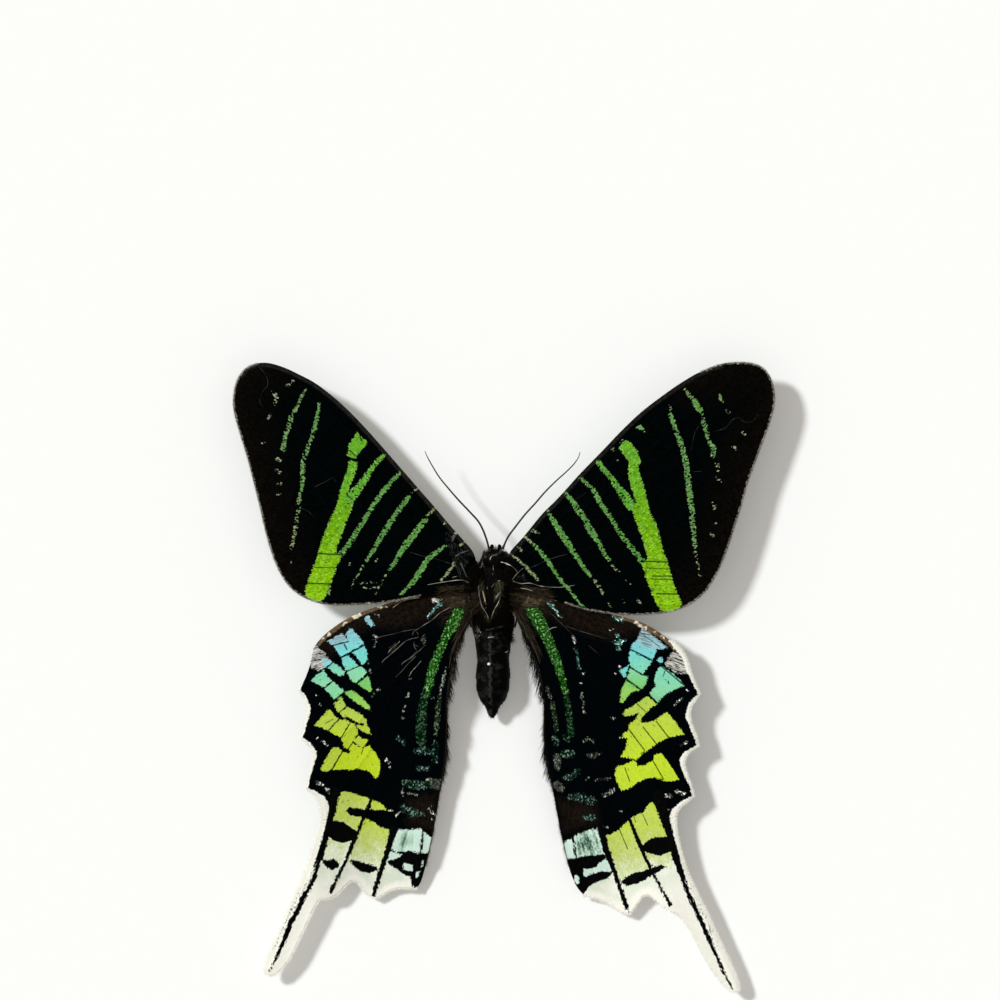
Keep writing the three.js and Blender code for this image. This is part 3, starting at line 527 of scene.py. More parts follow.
class Wire:
    """A socket that takes part in Python expressions. An expression adds its Math nodes."""

    def __init__(self, graph, socket):
        self.graph = graph
        self.socket = socket

    def least(self, other):
        return self.graph.math("MINIMUM", self, other)

    def most(self, other):
        return self.graph.math("MAXIMUM", self, other)

    def size(self):
        return self.graph.math("ABSOLUTE", self)

    def rise(self, low, high):
        """0 below low, 1 above high, and a smooth step between."""
        inputs = {"Value": self, "From Min": low, "From Max": high}
        return self.graph.node("ShaderNodeMapRange", inputs, interpolation_type="SMOOTHSTEP")


for sign, kind in {"add": "ADD", "sub": "SUBTRACT", "mul": "MULTIPLY", "truediv": "DIVIDE"}.items():
    setattr(Wire, f"__{sign}__", lambda a, b, kind=kind: a.graph.math(kind, a, b))
    setattr(Wire, f"__r{sign}__", lambda a, b, kind=kind: a.graph.math(kind, b, a))


class Graph:
    """The node tree of a material or of a modifier, with one method that makes any node."""

    def __init__(self, tree, look=None):
        self.tree = tree
        self.look = look

    def fill(self, node, inputs):
        for key, value in dict(inputs).items():
            if isinstance(value, Wire):
                self.tree.links.new(value.socket, node.inputs[key])
            else:
                node.inputs[key].default_value = value

    def node(self, kind, inputs=(), output=0, **settings):
        made = self.tree.nodes.new(kind)
        for name, value in settings.items():
            setattr(made, name, value)
        self.fill(made, inputs)
        return Wire(self, made.outputs[output]) if made.outputs else made

    def finish(self, shade, roughness, specular, bump=None):
        """The finished material, of a colour, a roughness, a share of reflected light and a relief."""
        inputs = {"Base Color": shade, "Roughness": roughness, "Specular IOR Level": specular}
        if bump:
            inputs["Normal"] = bump
        self.fill(self.tree.nodes["Principled BSDF"], inputs)
        return self.look

    def other(self, wire, output):
        """Another output of the node that a wire leaves."""
        return Wire(self, wire.socket.node.outputs[output])

    def math(self, operation, a, b=0.0):
        return self.node("ShaderNodeMath", {0: a, 1: b}, operation=operation)

    def parts(self, wire, kind="XYZ"):
        """The three numbers of a vector or a colour."""
        first = self.node(f"ShaderNodeSeparate{kind}", {0: wire})
        return [self.other(first, k) for k in range(3)]

    def vector(self, x, y, z):
        return self.node("ShaderNodeCombineXYZ", {0: x, 1: y, 2: z})

    def spot(self):
        """The place on the moth, in metres."""
        return self.node("ShaderNodeTexCoord", output="Object")

    def value(self, attribute, output="Fac"):
        """A number, or a vector, that each point of a mesh holds."""
        return self.node("ShaderNodeAttribute", output=output, attribute_name=attribute)

    def mix(self, share, a, b):
        """Colour a where share is 0, and colour b where it is 1."""
        a, b = (shade if isinstance(shade, Wire) else colour(*shade) for shade in (a, b))
        return self.node("ShaderNodeMix", {"Factor": share, 6: a, 7: b}, 2, data_type="RGBA")

    def tint(self, shade, by):
        """A colour made darker or lighter by a number."""
        shade = shade if isinstance(shade, Wire) else colour(*shade)[:3]
        return self.node("ShaderNodeVectorMath", {0: shade, "Scale": by}, operation="SCALE")

    def ramp(self, share, stops):
        """The colour that a share has among some stops, each a share and a colour."""
        made = self.node("ShaderNodeValToRGB", {"Fac": share})
        elements = made.socket.node.color_ramp.elements
        while len(elements) < len(stops):
            elements.new(0.5)
        for element, (place, *shade) in zip(elements, stops):
            element.position = place
            element.color = colour(*shade)
        return made

    def place(self, size):
        """The place on the moth in steps of a size in metres."""
        inputs = {"Vector": self.spot(), "Scale": size}
        return self.node("ShaderNodeMapping", inputs, vector_type="TEXTURE")

    def noise(self, vector, detail=2.0):
        """Smooth noise from 0 to 1."""
        return self.node("ShaderNodeTexNoise", {"Vector": vector, "Scale": 1.0, "Detail": detail})

    def grain(self, x, y, z, detail=2.0):
        """Smooth noise, whose lumps have the given size in millimetres."""
        return self.noise(self.place((x * MM, y * MM, z * MM)), detail)

    def bump(self, height, distance, strength=0.5):
        """A relief that is at most a distance high."""
        return self.node("ShaderNodeBump", {"Strength": strength, "Distance": distance, "Height": height})


def new_look(name):
    """The graph of a new material."""
    made = bpy.data.materials.new(name)
    made.use_nodes = True
    return Graph(made.node_tree, made)


# Wing materials

BAND_TONES = [
    (0.0, 142, 148, 132), (0.1, 152, 164, 114), (0.2, 124, 148, 96), (0.42, 98, 150, 82),
    (0.55, 84, 152, 60), (0.72, 104, 178, 44), (0.86, 116, 178, 16), (1.0, 142, 198, 14),
]
PATCH_TONES = [
    (0.0, 176, 200, 204), (0.1, 156, 204, 214), (0.2, 124, 214, 216), (0.3, 124, 216, 200),
    (0.42, 142, 216, 172), (0.55, 124, 202, 108), (0.62, 158, 210, 92), (0.7, 188, 210, 82),
    (0.79, 192, 217, 40), (0.86, 190, 211, 72), (0.9, 190, 206, 104), (0.94, 204, 214, 154),
    (0.97, 222, 232, 196), (1.0, 232, 235, 216),
]
DUST_TONES = [
    (0.0, 124, 160, 154), (0.07, 92, 134, 126), (0.12, 56, 74, 67), (0.2, 50, 70, 60), (0.3, 18, 42, 24),
    (0.36, 46, 58, 42), (0.52, 56, 92, 42), (0.62, 56, 58, 51), (0.7, 84, 90, 76), (0.85, 122, 128, 118),
    (1.0, 186, 186, 176),
]
# The same tones where the scales are dim.
DUST_TONES_DIM = [
    (0.0, 60, 140, 130), (0.12, 26, 64, 50), (0.2, 18, 64, 40), (0.3, 2, 54, 10), (0.36, 30, 56, 22),
    (0.52, 18, 104, 4), (0.62, 56, 58, 51), (0.7, 84, 90, 76), (1.0, 186, 186, 176),
]


TEAL_TONES = [
    (0.0, 208, 230, 217), (0.35, 168, 200, 181), (0.65, 112, 142, 124), (1.0, 44, 70, 55),
]


class WingGrain:
    """The rows of scales on a wing, which run out from its root, and random numbers for each scale."""

    SECTOR = math.radians(7)
    SCALE_WIDTH = 0.15 * MM

    def __init__(self, graph, side, root):
        self.graph = graph
        (root_x, root_y), = on_model([root])
        x, y, _ = graph.parts(graph.spot())
        x, y = (x - root_x) * SIDES[side], y - root_y
        self.sector = graph.math("SNAP", graph.math("ARCTAN2", y, x) + self.SECTOR / 2, self.SECTOR)
        cosine, sine = (graph.math(kind, self.sector) for kind in ("COSINE", "SINE"))
        self.along = x * cosine + y * sine
        self.across = y * cosine - x * sine
        cells = self.scales(0.27 * MM, 0.85)
        self.one, self.two, self.three = graph.parts(cells, "Color")
        # The glint number of each scale is used to light up a few scales as painted glints.
        self.chance, self.glint, _ = graph.parts(self.scales(0.2 * MM, 0.9), "Color")
        self.bump = graph.bump(1.0 - graph.other(cells, "Distance"), 0.03 * MM)

    def place(self, length, width):
        """A place on the wing, measured along and across its rows in steps of a length and a width."""
        return self.graph.vector(
            self.along / length + self.sector * 31.0, self.across / width, self.sector * 17.0
        )

    def scales(self, length, randomness):
        inputs = {"Vector": self.place(length, self.SCALE_WIDTH), "Scale": 1.0, "Randomness": randomness}
        return self.graph.node("ShaderNodeTexVoronoi", inputs, "Color", voronoi_dimensions="2D")

    def streaks(self, length, width, detail=2.0):
        """Noise drawn out along the rows."""
        return self.graph.noise(self.place(length * MM, width * MM), detail)

    def ragged(self, depth, amount=1.6):
        """1 inside a marking and 0 outside, where whole scales belong to it or don't."""
        return (depth + (self.one - 0.5) * amount).rise(-0.3, 0.35)

    def ground(self, black, brown, least, most=1.0):
        """The wing's dark ground, from black to brown, each scale a little lighter or darker."""
        shade = self.graph.mix(self.graph.value("brown"), black, brown)
        return self.graph.tint(shade, least + self.three * most)


def hairline_depth(graph, cuts, place=None):
    """How deep a place is inside the nearest of some straight lines, in pixels of the photograph."""
    x, y, _ = graph.parts(place or graph.spot())
    best = None
    for *ends, width in cuts:
        (ax, ay), (bx, by) = on_model(at(*ends))
        length = math.hypot(bx - ax, by - ay)
        ux, uy = (bx - ax) / length, (by - ay) / length
        right, up = x - (ax + bx) / 2, y - (ay + by) / 2
        along, aside = (right * ux + up * uy).size(), (right * -uy + up * ux).size()
        depth = (width * PIXEL / 2 - aside).least(length / 2 - along)
        best = depth if best is None else best.most(depth)
    return best / PIXEL


def forewing_upper(side, root):
    graph = new_look(f"{side}_forewing_scales")
    grain = WingGrain(graph, side, root)
    mix, tint, value, ragged = graph.mix, graph.tint, graph.value, grain.ragged
    one, two, three, glint = grain.one, grain.two, grain.three, grain.glint
    ground = mix(value("brown"), (1, 4, 4), (12, 8, 5))
    # A grey band along the front edge is a painted highlight, where light catches the raised front vein.
    ground = mix(value("costa").rise(-0.6, 0.8), ground, (30, 29, 27))
    ground = tint(ground, 0.4 + three)
    depth = value("mark")
    shown = ragged(depth - 0.2, 1.9) * (value("cover") * 1.25 - 0.27 - two).rise(-0.05, 0.05)
    cut = (hairline_depth(graph, FOREWING_CUTS[side]) + (three - 0.5) * 0.4).rise(-0.4, 0.3)
    shown = shown * (1.0 - cut * 0.85)
    bright = graph.ramp(value("tone") + (three - 0.5) * 0.12, BAND_TONES)
    # Scales are paler near a band's edge, and a few are lit up as painted glints.
    pale = (1.0 - depth.rise(0.2, 1.6)) * 0.16 + glint.rise(0.82, 1.0) * 0.3
    bright = tint(mix(pale, bright, (184, 212, 150)), 0.52 + three * 0.3 + glint * 0.36)
    skin = mix(shown, ground, bright)
    edge = (value("edge") + (one - 0.5) * 1.5).rise(-0.2, 0.6) * (0.3 + two * 0.7)
    skin = mix(edge, skin, tint((150, 147, 134), 0.4 + glint * 0.8))
    return graph.finish(skin, *WING_GLOSS, grain.bump)


def hindwing_upper(side, root):
    graph = new_look(f"{side}_hindwing_scales")
    grain = WingGrain(graph, side, root)
    mix, tint, value, ragged = graph.mix, graph.tint, graph.value, grain.ragged
    one, two, three, chance, glint = grain.one, grain.two, grain.three, grain.chance, grain.glint
    lines = grain.streaks(1.5, 0.2, 3.0)
    ground = mix(value("brown"), (1, 4, 6), (24, 18, 13))
    ground = mix(value("base") * lines.rise(0.4, 0.6), ground, (60, 48, 36))
    ground = tint(ground, 0.4 + three)

    dust_tone = value("dust_tone")
    dim, clear = (graph.ramp(dust_tone, tones) for tones in (DUST_TONES_DIM, DUST_TONES))
    # Dusted scales with a high glint number are clearer and a little greyer, and a few are lit up several
    # times brighter: painted glints.
    dusted = mix(glint.rise(0.25, 0.9), dim, clear)
    dusted = mix(glint.rise(0.5, 1.0) * 0.02, dusted, (235, 240, 235))
    level = (0.18 + graph.math("POWER", glint, 3.5) * 3.8).most(dust_tone.rise(0.56, 0.6) * 0.9)
    bright = (value("dust_cover") - chance).rise(-0.05, 0.05)
    dusted = tint(dusted, 0.05 + bright * level)
    skin = mix(ragged(value("dust"), 2.2), ground, dusted)

    tan = (value("tan") + (one - 0.5) * 1.2).rise(-0.6, 1.2)
    beads = graph.grain(0.85, 0.85, 0.85, 1.0).rise(0.54, 0.63)
    tan_shade = mix(beads, (108, 88, 64), (240, 228, 202))
    skin = mix(tan, skin, tint(tan_shade, 0.6 + three * 0.6))
    hairy = ragged(value("hairy"), 2.0) * grain.streaks(0.9, 0.13).rise(0.38, 0.5)
    skin = mix(hairy, skin, tint((204, 203, 196), 0.5 + three * 0.6))

    # The white end is cream along its rim and a little green inside.
    cloud = graph.grain(2.6, 2.6, 2.6).rise(0.35, 0.6)
    before_tail = 1.0 - grain.along.rise(40 * MM, 44 * MM)
    green = (value("rim") - lines * 3.0).rise(2.0, 7.5) * (0.35 + cloud * 0.65) * before_tail
    white_shade = mix(green, (243, 241, 230), (218, 227, 208))
    white_shade = tint(white_shade, 0.9 + three * 0.06 + lines * 0.08)
    skin = mix(ragged(value("white"), 1.2), skin, white_shade)

    mottle = graph.grain(1.2, 1.2, 1.2, 3.0) - 0.5
    patch_shade = graph.ramp(value("tone") + (three - 0.5) * 0.012 + mottle * 0.09, PATCH_TONES)
    scratch = lines.rise(0.47, 0.58) * value("scratched")
    wear_and_sheen = scratch.most((one * two).rise(0.86, 0.9) * 0.5)
    patch_shade = tint(patch_shade, (0.82 + three * 0.16 + lines * 0.12) * (1.0 - wear_and_sheen))
    skin = mix(ragged(value("patch"), 1.5), skin, patch_shade)

    teal = value("teal")
    width, specks = (1.0, 0.22) if side == "left" else (0.5, 0.6)
    shadow = grain.streaks(5.0, width).rise(0.34, 0.66) * 0.55 + (two - 0.5) * specks
    shadow = shadow + teal.rise(2.0, 10.0) * 0.35
    shadow = shadow * (1.0 - value("pale_teal").rise(-0.4, 0.4) * 0.8)
    skin = mix(ragged(teal, 2.2), skin, graph.ramp(shadow, TEAL_TONES))

    cut = (hairline_depth(graph, HINDWING_CUTS[side]) + (three - 0.5) * 0.4).rise(-0.45, 0.3)
    ink = (value("ink") + 0.25 + (one - 0.5) * 1.8).rise(-0.3, 0.3).most(cut * 0.88)
    barbs = graph.grain(0.16, 0.3, 0.3)
    ink = ink.most((value("fray") * 0.35 + (barbs - 0.5) * 12.0 - 1.6).rise(-0.4, 0.8) * 0.75)
    skin = mix(ink, skin, tint((6, 6, 6), 0.5 + three))
    return graph.finish(skin, *WING_GLOSS, grain.bump)


def forewing_under(side, root):
    graph = new_look(f"{side}_forewing_underside")
    grain = WingGrain(graph, side, root)
    mix, tint, value, ragged = graph.mix, graph.tint, graph.value, grain.ragged
    shown = ragged(value("mark") + 1.2) * value("cover").rise(0.55, 0.8)
    bright = mix(grain.two, (96, 150, 128), (132, 184, 150))
    bright = tint(bright, 0.7 + grain.three * 0.5)
    skin = mix(shown, grain.ground((24, 20, 17), (48, 36, 27), 0.6, 0.8), bright)
    return graph.finish(skin, *WING_GLOSS, grain.bump)


def hindwing_under(side, root):
    graph = new_look(f"{side}_hindwing_underside")
    grain = WingGrain(graph, side, root)
    mix, tint, value, ragged = graph.mix, graph.tint, graph.value, grain.ragged
    shade = mix(grain.two, (126, 178, 158), (164, 206, 180))
    shade = tint(shade, 0.8 + grain.three * 0.3)
    ground = grain.ground((20, 20, 18), (50, 38, 28), 0.6, 0.8)
    skin = mix(ragged(value("patch")), ground, shade)
    light = value("white").most(value("teal"))
    skin = mix(ragged(light), skin, (224, 224, 212))
    skin = mix(ragged(value("ink")), skin, (12, 11, 10))
    return graph.finish(skin, *WING_GLOSS, grain.bump)


# Meshes


def linked(name, data):
    """A new object in the scene."""
    made = bpy.data.objects.new(name, data)
    bpy.context.scene.collection.objects.link(made)
    return made


def mesh_object(name, points, faces, looks, face_slots=None):
    """A mesh object from points in metres and faces that all have the same number of corners."""
    points = np.asarray(points, np.float32)
    faces = np.asarray(faces, np.int32)
    mesh = bpy.data.meshes.new(name)
    mesh.vertices.add(len(points))
    mesh.vertices.foreach_set("co", points.ravel())
    mesh.loops.add(faces.size)
    mesh.loops.foreach_set("vertex_index", faces.ravel())
    mesh.polygons.add(len(faces))
    mesh.polygons.foreach_set("loop_start", np.arange(0, faces.size, faces.shape[1], dtype=np.int32))
    mesh.polygons.foreach_set("use_smooth", np.ones(len(faces), bool))
    for look in looks:
        mesh.materials.append(look)
    if face_slots is not None:
        mesh.polygons.foreach_set("material_index", np.asarray(face_slots, np.int32))
    mesh.update(calc_edges=True)
    return linked(name, mesh)


def store(piece, name, values, kind="FLOAT"):
    """Gives each point of a piece a number or a vector, or gives the same one to all."""
    attribute = piece.data.attributes.new(name, kind, "POINT")
    count = len(piece.data.vertices)
    shape, key = ((count, 3), "vector") if kind == "FLOAT_VECTOR" else (count, "value")
    attribute.data.foreach_set(key, np.broadcast_to(values, shape).astype(np.float32).ravel())


def on_root(piece, slot, *nodes):
    """A finished piece rides on the moth's one body."""
    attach(piece, "root")
    if nodes:
        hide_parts(*nodes)


def lattice(low, high, step):
    """A lattice of even triangles over a box: its points, and its triangles."""
    row_step = step * math.sqrt(3) / 2
    rows = math.ceil((high[1] - low[1]) / row_step) + 1
    columns = math.ceil((high[0] - low[0]) / step) + 2
    i, j = np.meshgrid(np.arange(rows), np.arange(columns), indexing="ij")
    points = np.stack([low[0] + (j - 0.5 + 0.5 * (i % 2)) * step, low[1] + i * row_step], -1).reshape(-1, 2)
    here = (i * columns + j)[:-1, :-1]
    beside, above, across = here + 1, here + columns, here + columns + 1
    even = np.stack([here, beside, above, beside, across, above], -1)
    odd = np.stack([here, across, above, here, beside, across], -1)
    return points, np.where((i[:-1, :-1] % 2)[..., None] == 0, even, odd).reshape(-1, 3)


def odd_one_first(triangles, odd):
    """Each triangle turned so that its one odd corner comes first."""
    first = odd.argmax(1)
    rows = np.arange(len(triangles))
    return np.stack([triangles[rows, (first + k) % 3] for k in range(3)], 1)


def clipped(points, triangles, depth):
    """The part of a triangle mesh whose depth isn't negative, cut along the line where it is 0."""
    inside = depth >= 0
    count = inside[triangles].sum(1)
    whole = triangles[count == 3]
    one, two = triangles[count == 1], triangles[count == 2]
    one = odd_one_first(one, inside[one])
    two = odd_one_first(two, ~inside[two])
    edges = np.vstack([one[:, [0, 1]], one[:, [0, 2]], two[:, [0, 1]], two[:, [0, 2]]])
    keys, which = np.unique(np.sort(edges, 1), axis=0, return_inverse=True)
    a, b = keys.T
    share = (depth[a] / (depth[a] - depth[b]))[:, None]
    crossings = points[a] + share * (points[b] - points[a])
    which = which.ravel() + len(points)
    n, m = len(one), len(two)
    one_b, one_c = which[:n], which[n : 2 * n]
    two_b, two_c = which[2 * n : 2 * n + m], which[2 * n + m :]
    faces = np.vstack([
        whole,
        np.stack([one[:, 0], one_b, one_c], 1),
        np.stack([two_b, two[:, 1], two[:, 2]], 1),
        np.stack([two_b, two[:, 2], two_c], 1),
    ])
    everything = np.vstack([points, crossings])
    used, faces = np.unique(faces, return_inverse=True)
    return everything[used], faces.reshape(-1, 3)


def flat_mesh(outline, step, inset=0.0):
    """A mesh that fills an outline up to an inset, in pixels of the photograph."""
    points, triangles = lattice(outline.min(0) - 2 * step, outline.max(0) + 2 * step, step)
    return clipped(points, triangles, area_depth(points, outline) - inset)


def nearest_line(points, lines):
    """Each point's distance to the nearest of some lines."""
    best = np.full(len(points), FAR)
    for line in lines:
        line = smooth_run(line, 4.0)
        near = around(points, line)
        distance, _ = line_distance(points[near], line)
        best[near] = np.minimum(best[near], distance)
    return best


def deepest_area(points, areas):
    best = np.full(len(points), -FAR)
    for area in areas:
        near = around(points, area)
        best[near] = np.maximum(best[near], area_depth(points[near], area))
    return best


def marked(points, bands, streaks):
    """The depth inside the nearest mark, its tone, and the share of its scales that are bright."""
    depth, tone, cover = (np.full(len(points), start) for start in (-FAR, 0.0, 1.0))

    def mark(near, deep, shades, share):
        better = deep > depth[near]
        rows = near[better]
        depth[rows] = deep[better]
        tone[rows] = shades[better]
        cover[rows] = share

    for top, bottom, area in bands:
        area = np.asarray(area, float)
        near = around(points, area)
        low, high = area[:, 1].min(), area[:, 1].max()
        fall = np.clip((points[near, 1] - low) / (high - low), 0, 1)
        mark(near, area_depth(points[near], area), top + (bottom - top) * fall, 1.0)
    for line, widths, shade, share in streaks:
        near = around(points, line)
        mark(near, streak_depth(points[near], line, widths), np.full(len(near), shade), share)
    return depth, tone, cover


def forewing_height(xy):
    """The height of a forewing's middle surface: it arches a little from its root to its tip."""
    reach = np.minimum(1, np.abs(xy[:, 0]) / (WINGSPAN / 2))
    return (4.6 + 0.25 * np.sin(np.pi * reach) - 0.1 * reach) * MM


def smooth_step(values, low, high):
    share = np.clip((values - low) / (high - low), 0, 1)
    return share * share * (3 - 2 * share)


def hindwing_height(xy):
    """The height of a hindwing's middle surface: it falls from under the forewing to its tail.

    Its inner half sags behind the body, and its scalloped rear edge sags a little more."""
    x, down = np.abs(xy[:, 0]) / MM, -xy[:, 1] / MM
    sag = 1.0 * smooth_step(down, 11, 21) + 0.6 * smooth_step(down, 31, 38)
    inner = 1 - smooth_step(x, 15, 24)
    out = x * MM / (WINGSPAN / 2)
    return (4.15 - 1.75 * np.clip(down / 50, 0, 1) - 0.25 * out * out - inner * sag) * MM


def wing_shell(name, runs, height, ridges, materials, settings):
    """A closed thin wing with raised veins and slight folds. Also gives its points on the photograph."""
    outline, inset = closed_outline(runs), 0.8
    flat, triangles = flat_mesh(outline, settings.mesh_step / PIXEL, inset)
    depth = area_depth(flat, outline) - inset
    xy = on_model(flat)
    vein = nearest_line(flat, ridges)
    rim = 1 - np.exp(-((depth / 3) ** 2))
    ridge = settings.vein_height * np.exp(-((vein / 1.3) ** 2))
    fold = settings.fold_depth * (1 - np.exp(-((vein / 6) ** 2)))
    wave = np.sin(xy[:, 0] * 900 + 1.3 * np.sin(xy[:, 1] * 420)) * np.cos(xy[:, 1] * 760 + 0.7)
    middle = height(xy) + rim * (settings.fold_depth * 0.5 * wave - fold)
    half = settings.thickness * (0.3 + 0.7 * rim) / 2
    upper = np.column_stack([xy, middle + half + ridge])
    lower = np.column_stack([xy, middle - half - ridge * 0.6])
    count = len(flat)
    upright = np.cross(*(np.diff(xy[triangles[:1, :]][0], axis=0))) > 0
    top = triangles if upright else triangles[:, ::-1]
    sides = np.vstack([top[:, [0, 1]], top[:, [1, 2]], top[:, [2, 0]]])
    # Sides that no other triangle has are along the rim.
    start, end = sides[~np.isin(sides @ (count, 1), sides @ (1, count))].T
    walls = np.vstack([
        np.stack([start, start + count, end], 1), np.stack([end, start + count, end + count], 1)
    ])
    faces = np.vstack([top, top[:, ::-1] + count, walls])
    slots = np.concatenate([np.zeros(len(top)), np.ones(len(top)), np.zeros(len(walls))])
    piece = mesh_object(name, np.vstack([upper, lower]), faces, materials, slots)
    return piece, flat, depth


def mark_wing(piece, **marks):
    """Gives the upper and the lower points of a wing the same numbers."""
    for name, values in marks.items():
        store(piece, name, np.tile(values, 2))


def margin_fringe(name, runs, line, height, length, look, slot, sizes, lean=(0, 0)):
    """A row of narrow scales that stand out over a wing's edge along a line in pixels of the photograph.

    Lean is added to their direction, which is straight away from the wing. The sizes are their spacing,
    radius, bend and spread."""
    outline = on_model(closed_outline(runs))
    turned = np.roll(outline, -1, axis=0)
    out = 1 if np.sum(outline[:, 0] * turned[:, 1] - outline[:, 1] * turned[:, 0]) > 0 else -1
    xy = on_model(line)
    way = unit(np.gradient(xy, axis=0))
    outward = np.column_stack([way[:, 1], -way[:, 0]]) * out
    roots = np.column_stack([xy - outward * 1.4 * PIXEL, height(xy)])
    mesh = bpy.data.meshes.new("path")
    mesh.from_pydata(roots.tolist(), [(k, k + 1) for k in range(len(roots) - 1)], [])
    path = linked("path", mesh)
    store(path, "comb", np.column_stack([outward + lean, np.full(len(xy), -0.1)]), "FLOAT_VECTOR")
    store(path, "length", length)
    on_root(grown(name, path, fringe_tree(), look, 5, sizes), slot)


def make_forewing(side, settings):
    runs = LEFT_FOREWING if side == "left" else RIGHT_FOREWING
    ridges = [fitted(r, FOREWING_CORNERS["left"], FOREWING_CORNERS[side]) for r in FOREWING_RIDGES]
    root = FOREWING_CORNERS[side][0]
    looks = [forewing_upper(side, root), forewing_under(side, root)]
    piece, flat, _ = wing_shell(f"{side}_forewing_wing", runs, forewing_height, ridges, looks, settings)
    mark, tone, cover = marked(flat, FOREWING_BANDS[side], FOREWING_STREAKS[side])
    outer, front = (runs[0][15:29], runs[0][1:18]) if side == "left" else (runs[0][12:30], runs[0][1:14])
    edge = smooth_run(runs[0][12 if side == "right" else 15:-2], 1.0)
    from_outer, from_front, from_edge = (
        line_distance(flat, line)[0] for line in (outer, smooth_run(front, 3.0), edge[::3])
    )
    # The band along the front edge is where a highlight is painted.
    mark_wing(
        piece, mark=mark, tone=tone, cover=cover, brown=np.clip(1 - from_outer / 48, 0, 1),
        costa=2.4 - np.abs(from_front - 2.6), edge=2.4 - from_edge,
    )
    on_root(piece, "forewing_scales", f"{side}_forewing")
    look = hair_look(f"{side}_forewing_fringe", (26, 23, 19), (168, 163, 148))
    sizes = (0.045 * MM, 0.02 * MM, 0.01 * MM, 0.25)
    margin_fringe(
        f"{side}_forewing_edge", runs, edge, forewing_height, 0.3 * MM, look, "forewing_scales", sizes
    )


def make_hindwing(side, settings):
    left = side == "left"
    runs = LEFT_HINDWING if left else RIGHT_HINDWING
    ridges = [fitted(r, HINDWING_CORNERS["left"], HINDWING_CORNERS[side]) for r in HINDWING_RIDGES]
    root = HINDWING_CORNERS[side][0]
    looks = [hindwing_upper(side, root), hindwing_under(side, root)]
    piece, flat, depth = wing_shell(f"{side}_hindwing_wing", runs, hindwing_height, ridges, looks, settings)
    patch, tone, _ = marked(flat, HINDWING_PATCHES[side], [])
    dust, dust_tone, dust_cover = marked(flat, [], HINDWING_DUST[side])
    white = HINDWING_PALE[side] + [HINDWING_FRINGE[side]] + ([] if left else [HINDWING_FRONT_EDGE_WHITE])
    ink = deepest_area(flat, HINDWING_SPOTS[side])
    for line, widths in HINDWING_VEINS[side]:
        near = around(flat, line)
        ink[near] = np.maximum(ink[near], streak_depth(flat[near], line, widths))
    for area in HINDWING_TEAL[side][2:]:
        ink = np.minimum(ink, -area_depth(flat, area))
    tan, fray = (
        np.clip(streak_depth(flat, *lines[side]), -FAR, FAR) for lines in (HINDWING_TAN, HINDWING_FRAYS)
    )
    mark_wing(
        piece, rim=depth, patch=patch, tone=tone, dust=dust - 0.35 * (dust_tone > 0.8), dust_tone=dust_tone,
        dust_cover=dust_cover, white=deepest_area(flat, white), ink=ink, tan=tan, fray=fray,
        hairy=area_depth(flat, HINDWING_HAIRY[side]),
        base=np.clip(1 - np.linalg.norm(flat - root, axis=1) / 46, 0, 1),
        scratched=np.clip(1 - tone * 5, 0, 1) * (0.55 if left else 0.8),
        teal=deepest_area(flat, HINDWING_TEAL[side]),
        pale_teal=deepest_area(flat, HINDWING_PALE_TEAL[side]),
        brown=np.clip(0.5 + deepest_area(flat, HINDWING_BROWN[side]) / 12, 0, 1),
    )
    on_root(piece, "hindwing_scales", f"{side}_hindwing")

    white_look = hair_look(f"{side}_hindwing_fringe", (238, 236, 226), (252, 251, 246))
    dark_look = hair_look(f"{side}_inner_hair", (7, 6, 5), (48, 43, 36))
    inner = smooth_run(runs[6][2:-1], 1.0)
    reach = np.linspace(0, 1, len(inner))
    lengths = (0.3, 0.9, 2.3, 3.3, 2.2, 0.6) if left else (0.3, 0.9, 2.6, 3.6, 1.0, 0.3)
    inner_length = np.interp(reach, (0, 0.3, 0.45, 0.78, 0.9, 1), lengths) * MM
    # The hairs of each tuft lean more the further up they start, so that their tips meet.
    place = np.arange(len(inner))[::-1] / 23.0
    tuft = place % 1
    inner_length *= 0.3 + 0.7 * np.abs(np.sin(np.floor(place) * 2.4))
    lean = np.column_stack([0 * tuft, -5.4 + 2.6 * tuft])
    tufted = (inner_length * (1.3 - 0.6 * tuft), 0.046, 0.24, lean)
    loose = (inner_length * 0.9, 0.03, 0.5, (0, -3.4))
    for layer in range(5):
        length, radius, spread, lean = tufted if layer < 3 else loose
        sizes = ((0.11 + 0.017 * layer) * MM, radius * MM, 0.3 * MM, spread)
        margin_fringe(
            f"{side}_inner_edge_{layer}", runs, inner, hindwing_height, length, dark_look, "body_hair",
            sizes, lean,
        )
    front = runs[0][14:] if left else runs[0][9:]
    edge = np.vstack([smooth_run(run, 1.0) for run in (front, *runs[1:6])])
    for layer in range(3):
        sizes = ((0.05 + 0.006 * layer) * MM, 0.035 * MM, 0.01 * MM, 0.14)
        margin_fringe(
            f"{side}_hindwing_edge_{layer}", runs, edge, hindwing_height, 0.5 * MM, white_look,
            "white_fringe", sizes,
        )


# Hairs and fringes, by Geometry Nodes


def new_tree(name, spacing):
    """A node tree whose inputs are a mesh, four sizes, a seed and a material."""
    tree = bpy.data.node_groups.new(name, "GeometryNodeTree")
    sizes = [(size, "Float") for size in (spacing, "Radius", "Bend", "Spread")]
    for label, kind in (("Mesh", "Geometry"), *sizes, ("Seed", "Int"), ("Material", "Material")):
        tree.interface.new_socket(label, in_out="INPUT", socket_type=f"NodeSocket{kind}")
    tree.interface.new_socket("Mesh", in_out="OUTPUT", socket_type="NodeSocketGeometry")
    graph = Graph(tree)
    entry = tree.nodes.new("NodeGroupInput")
    return graph, {socket.name: Wire(graph, socket) for socket in entry.outputs[:7]}


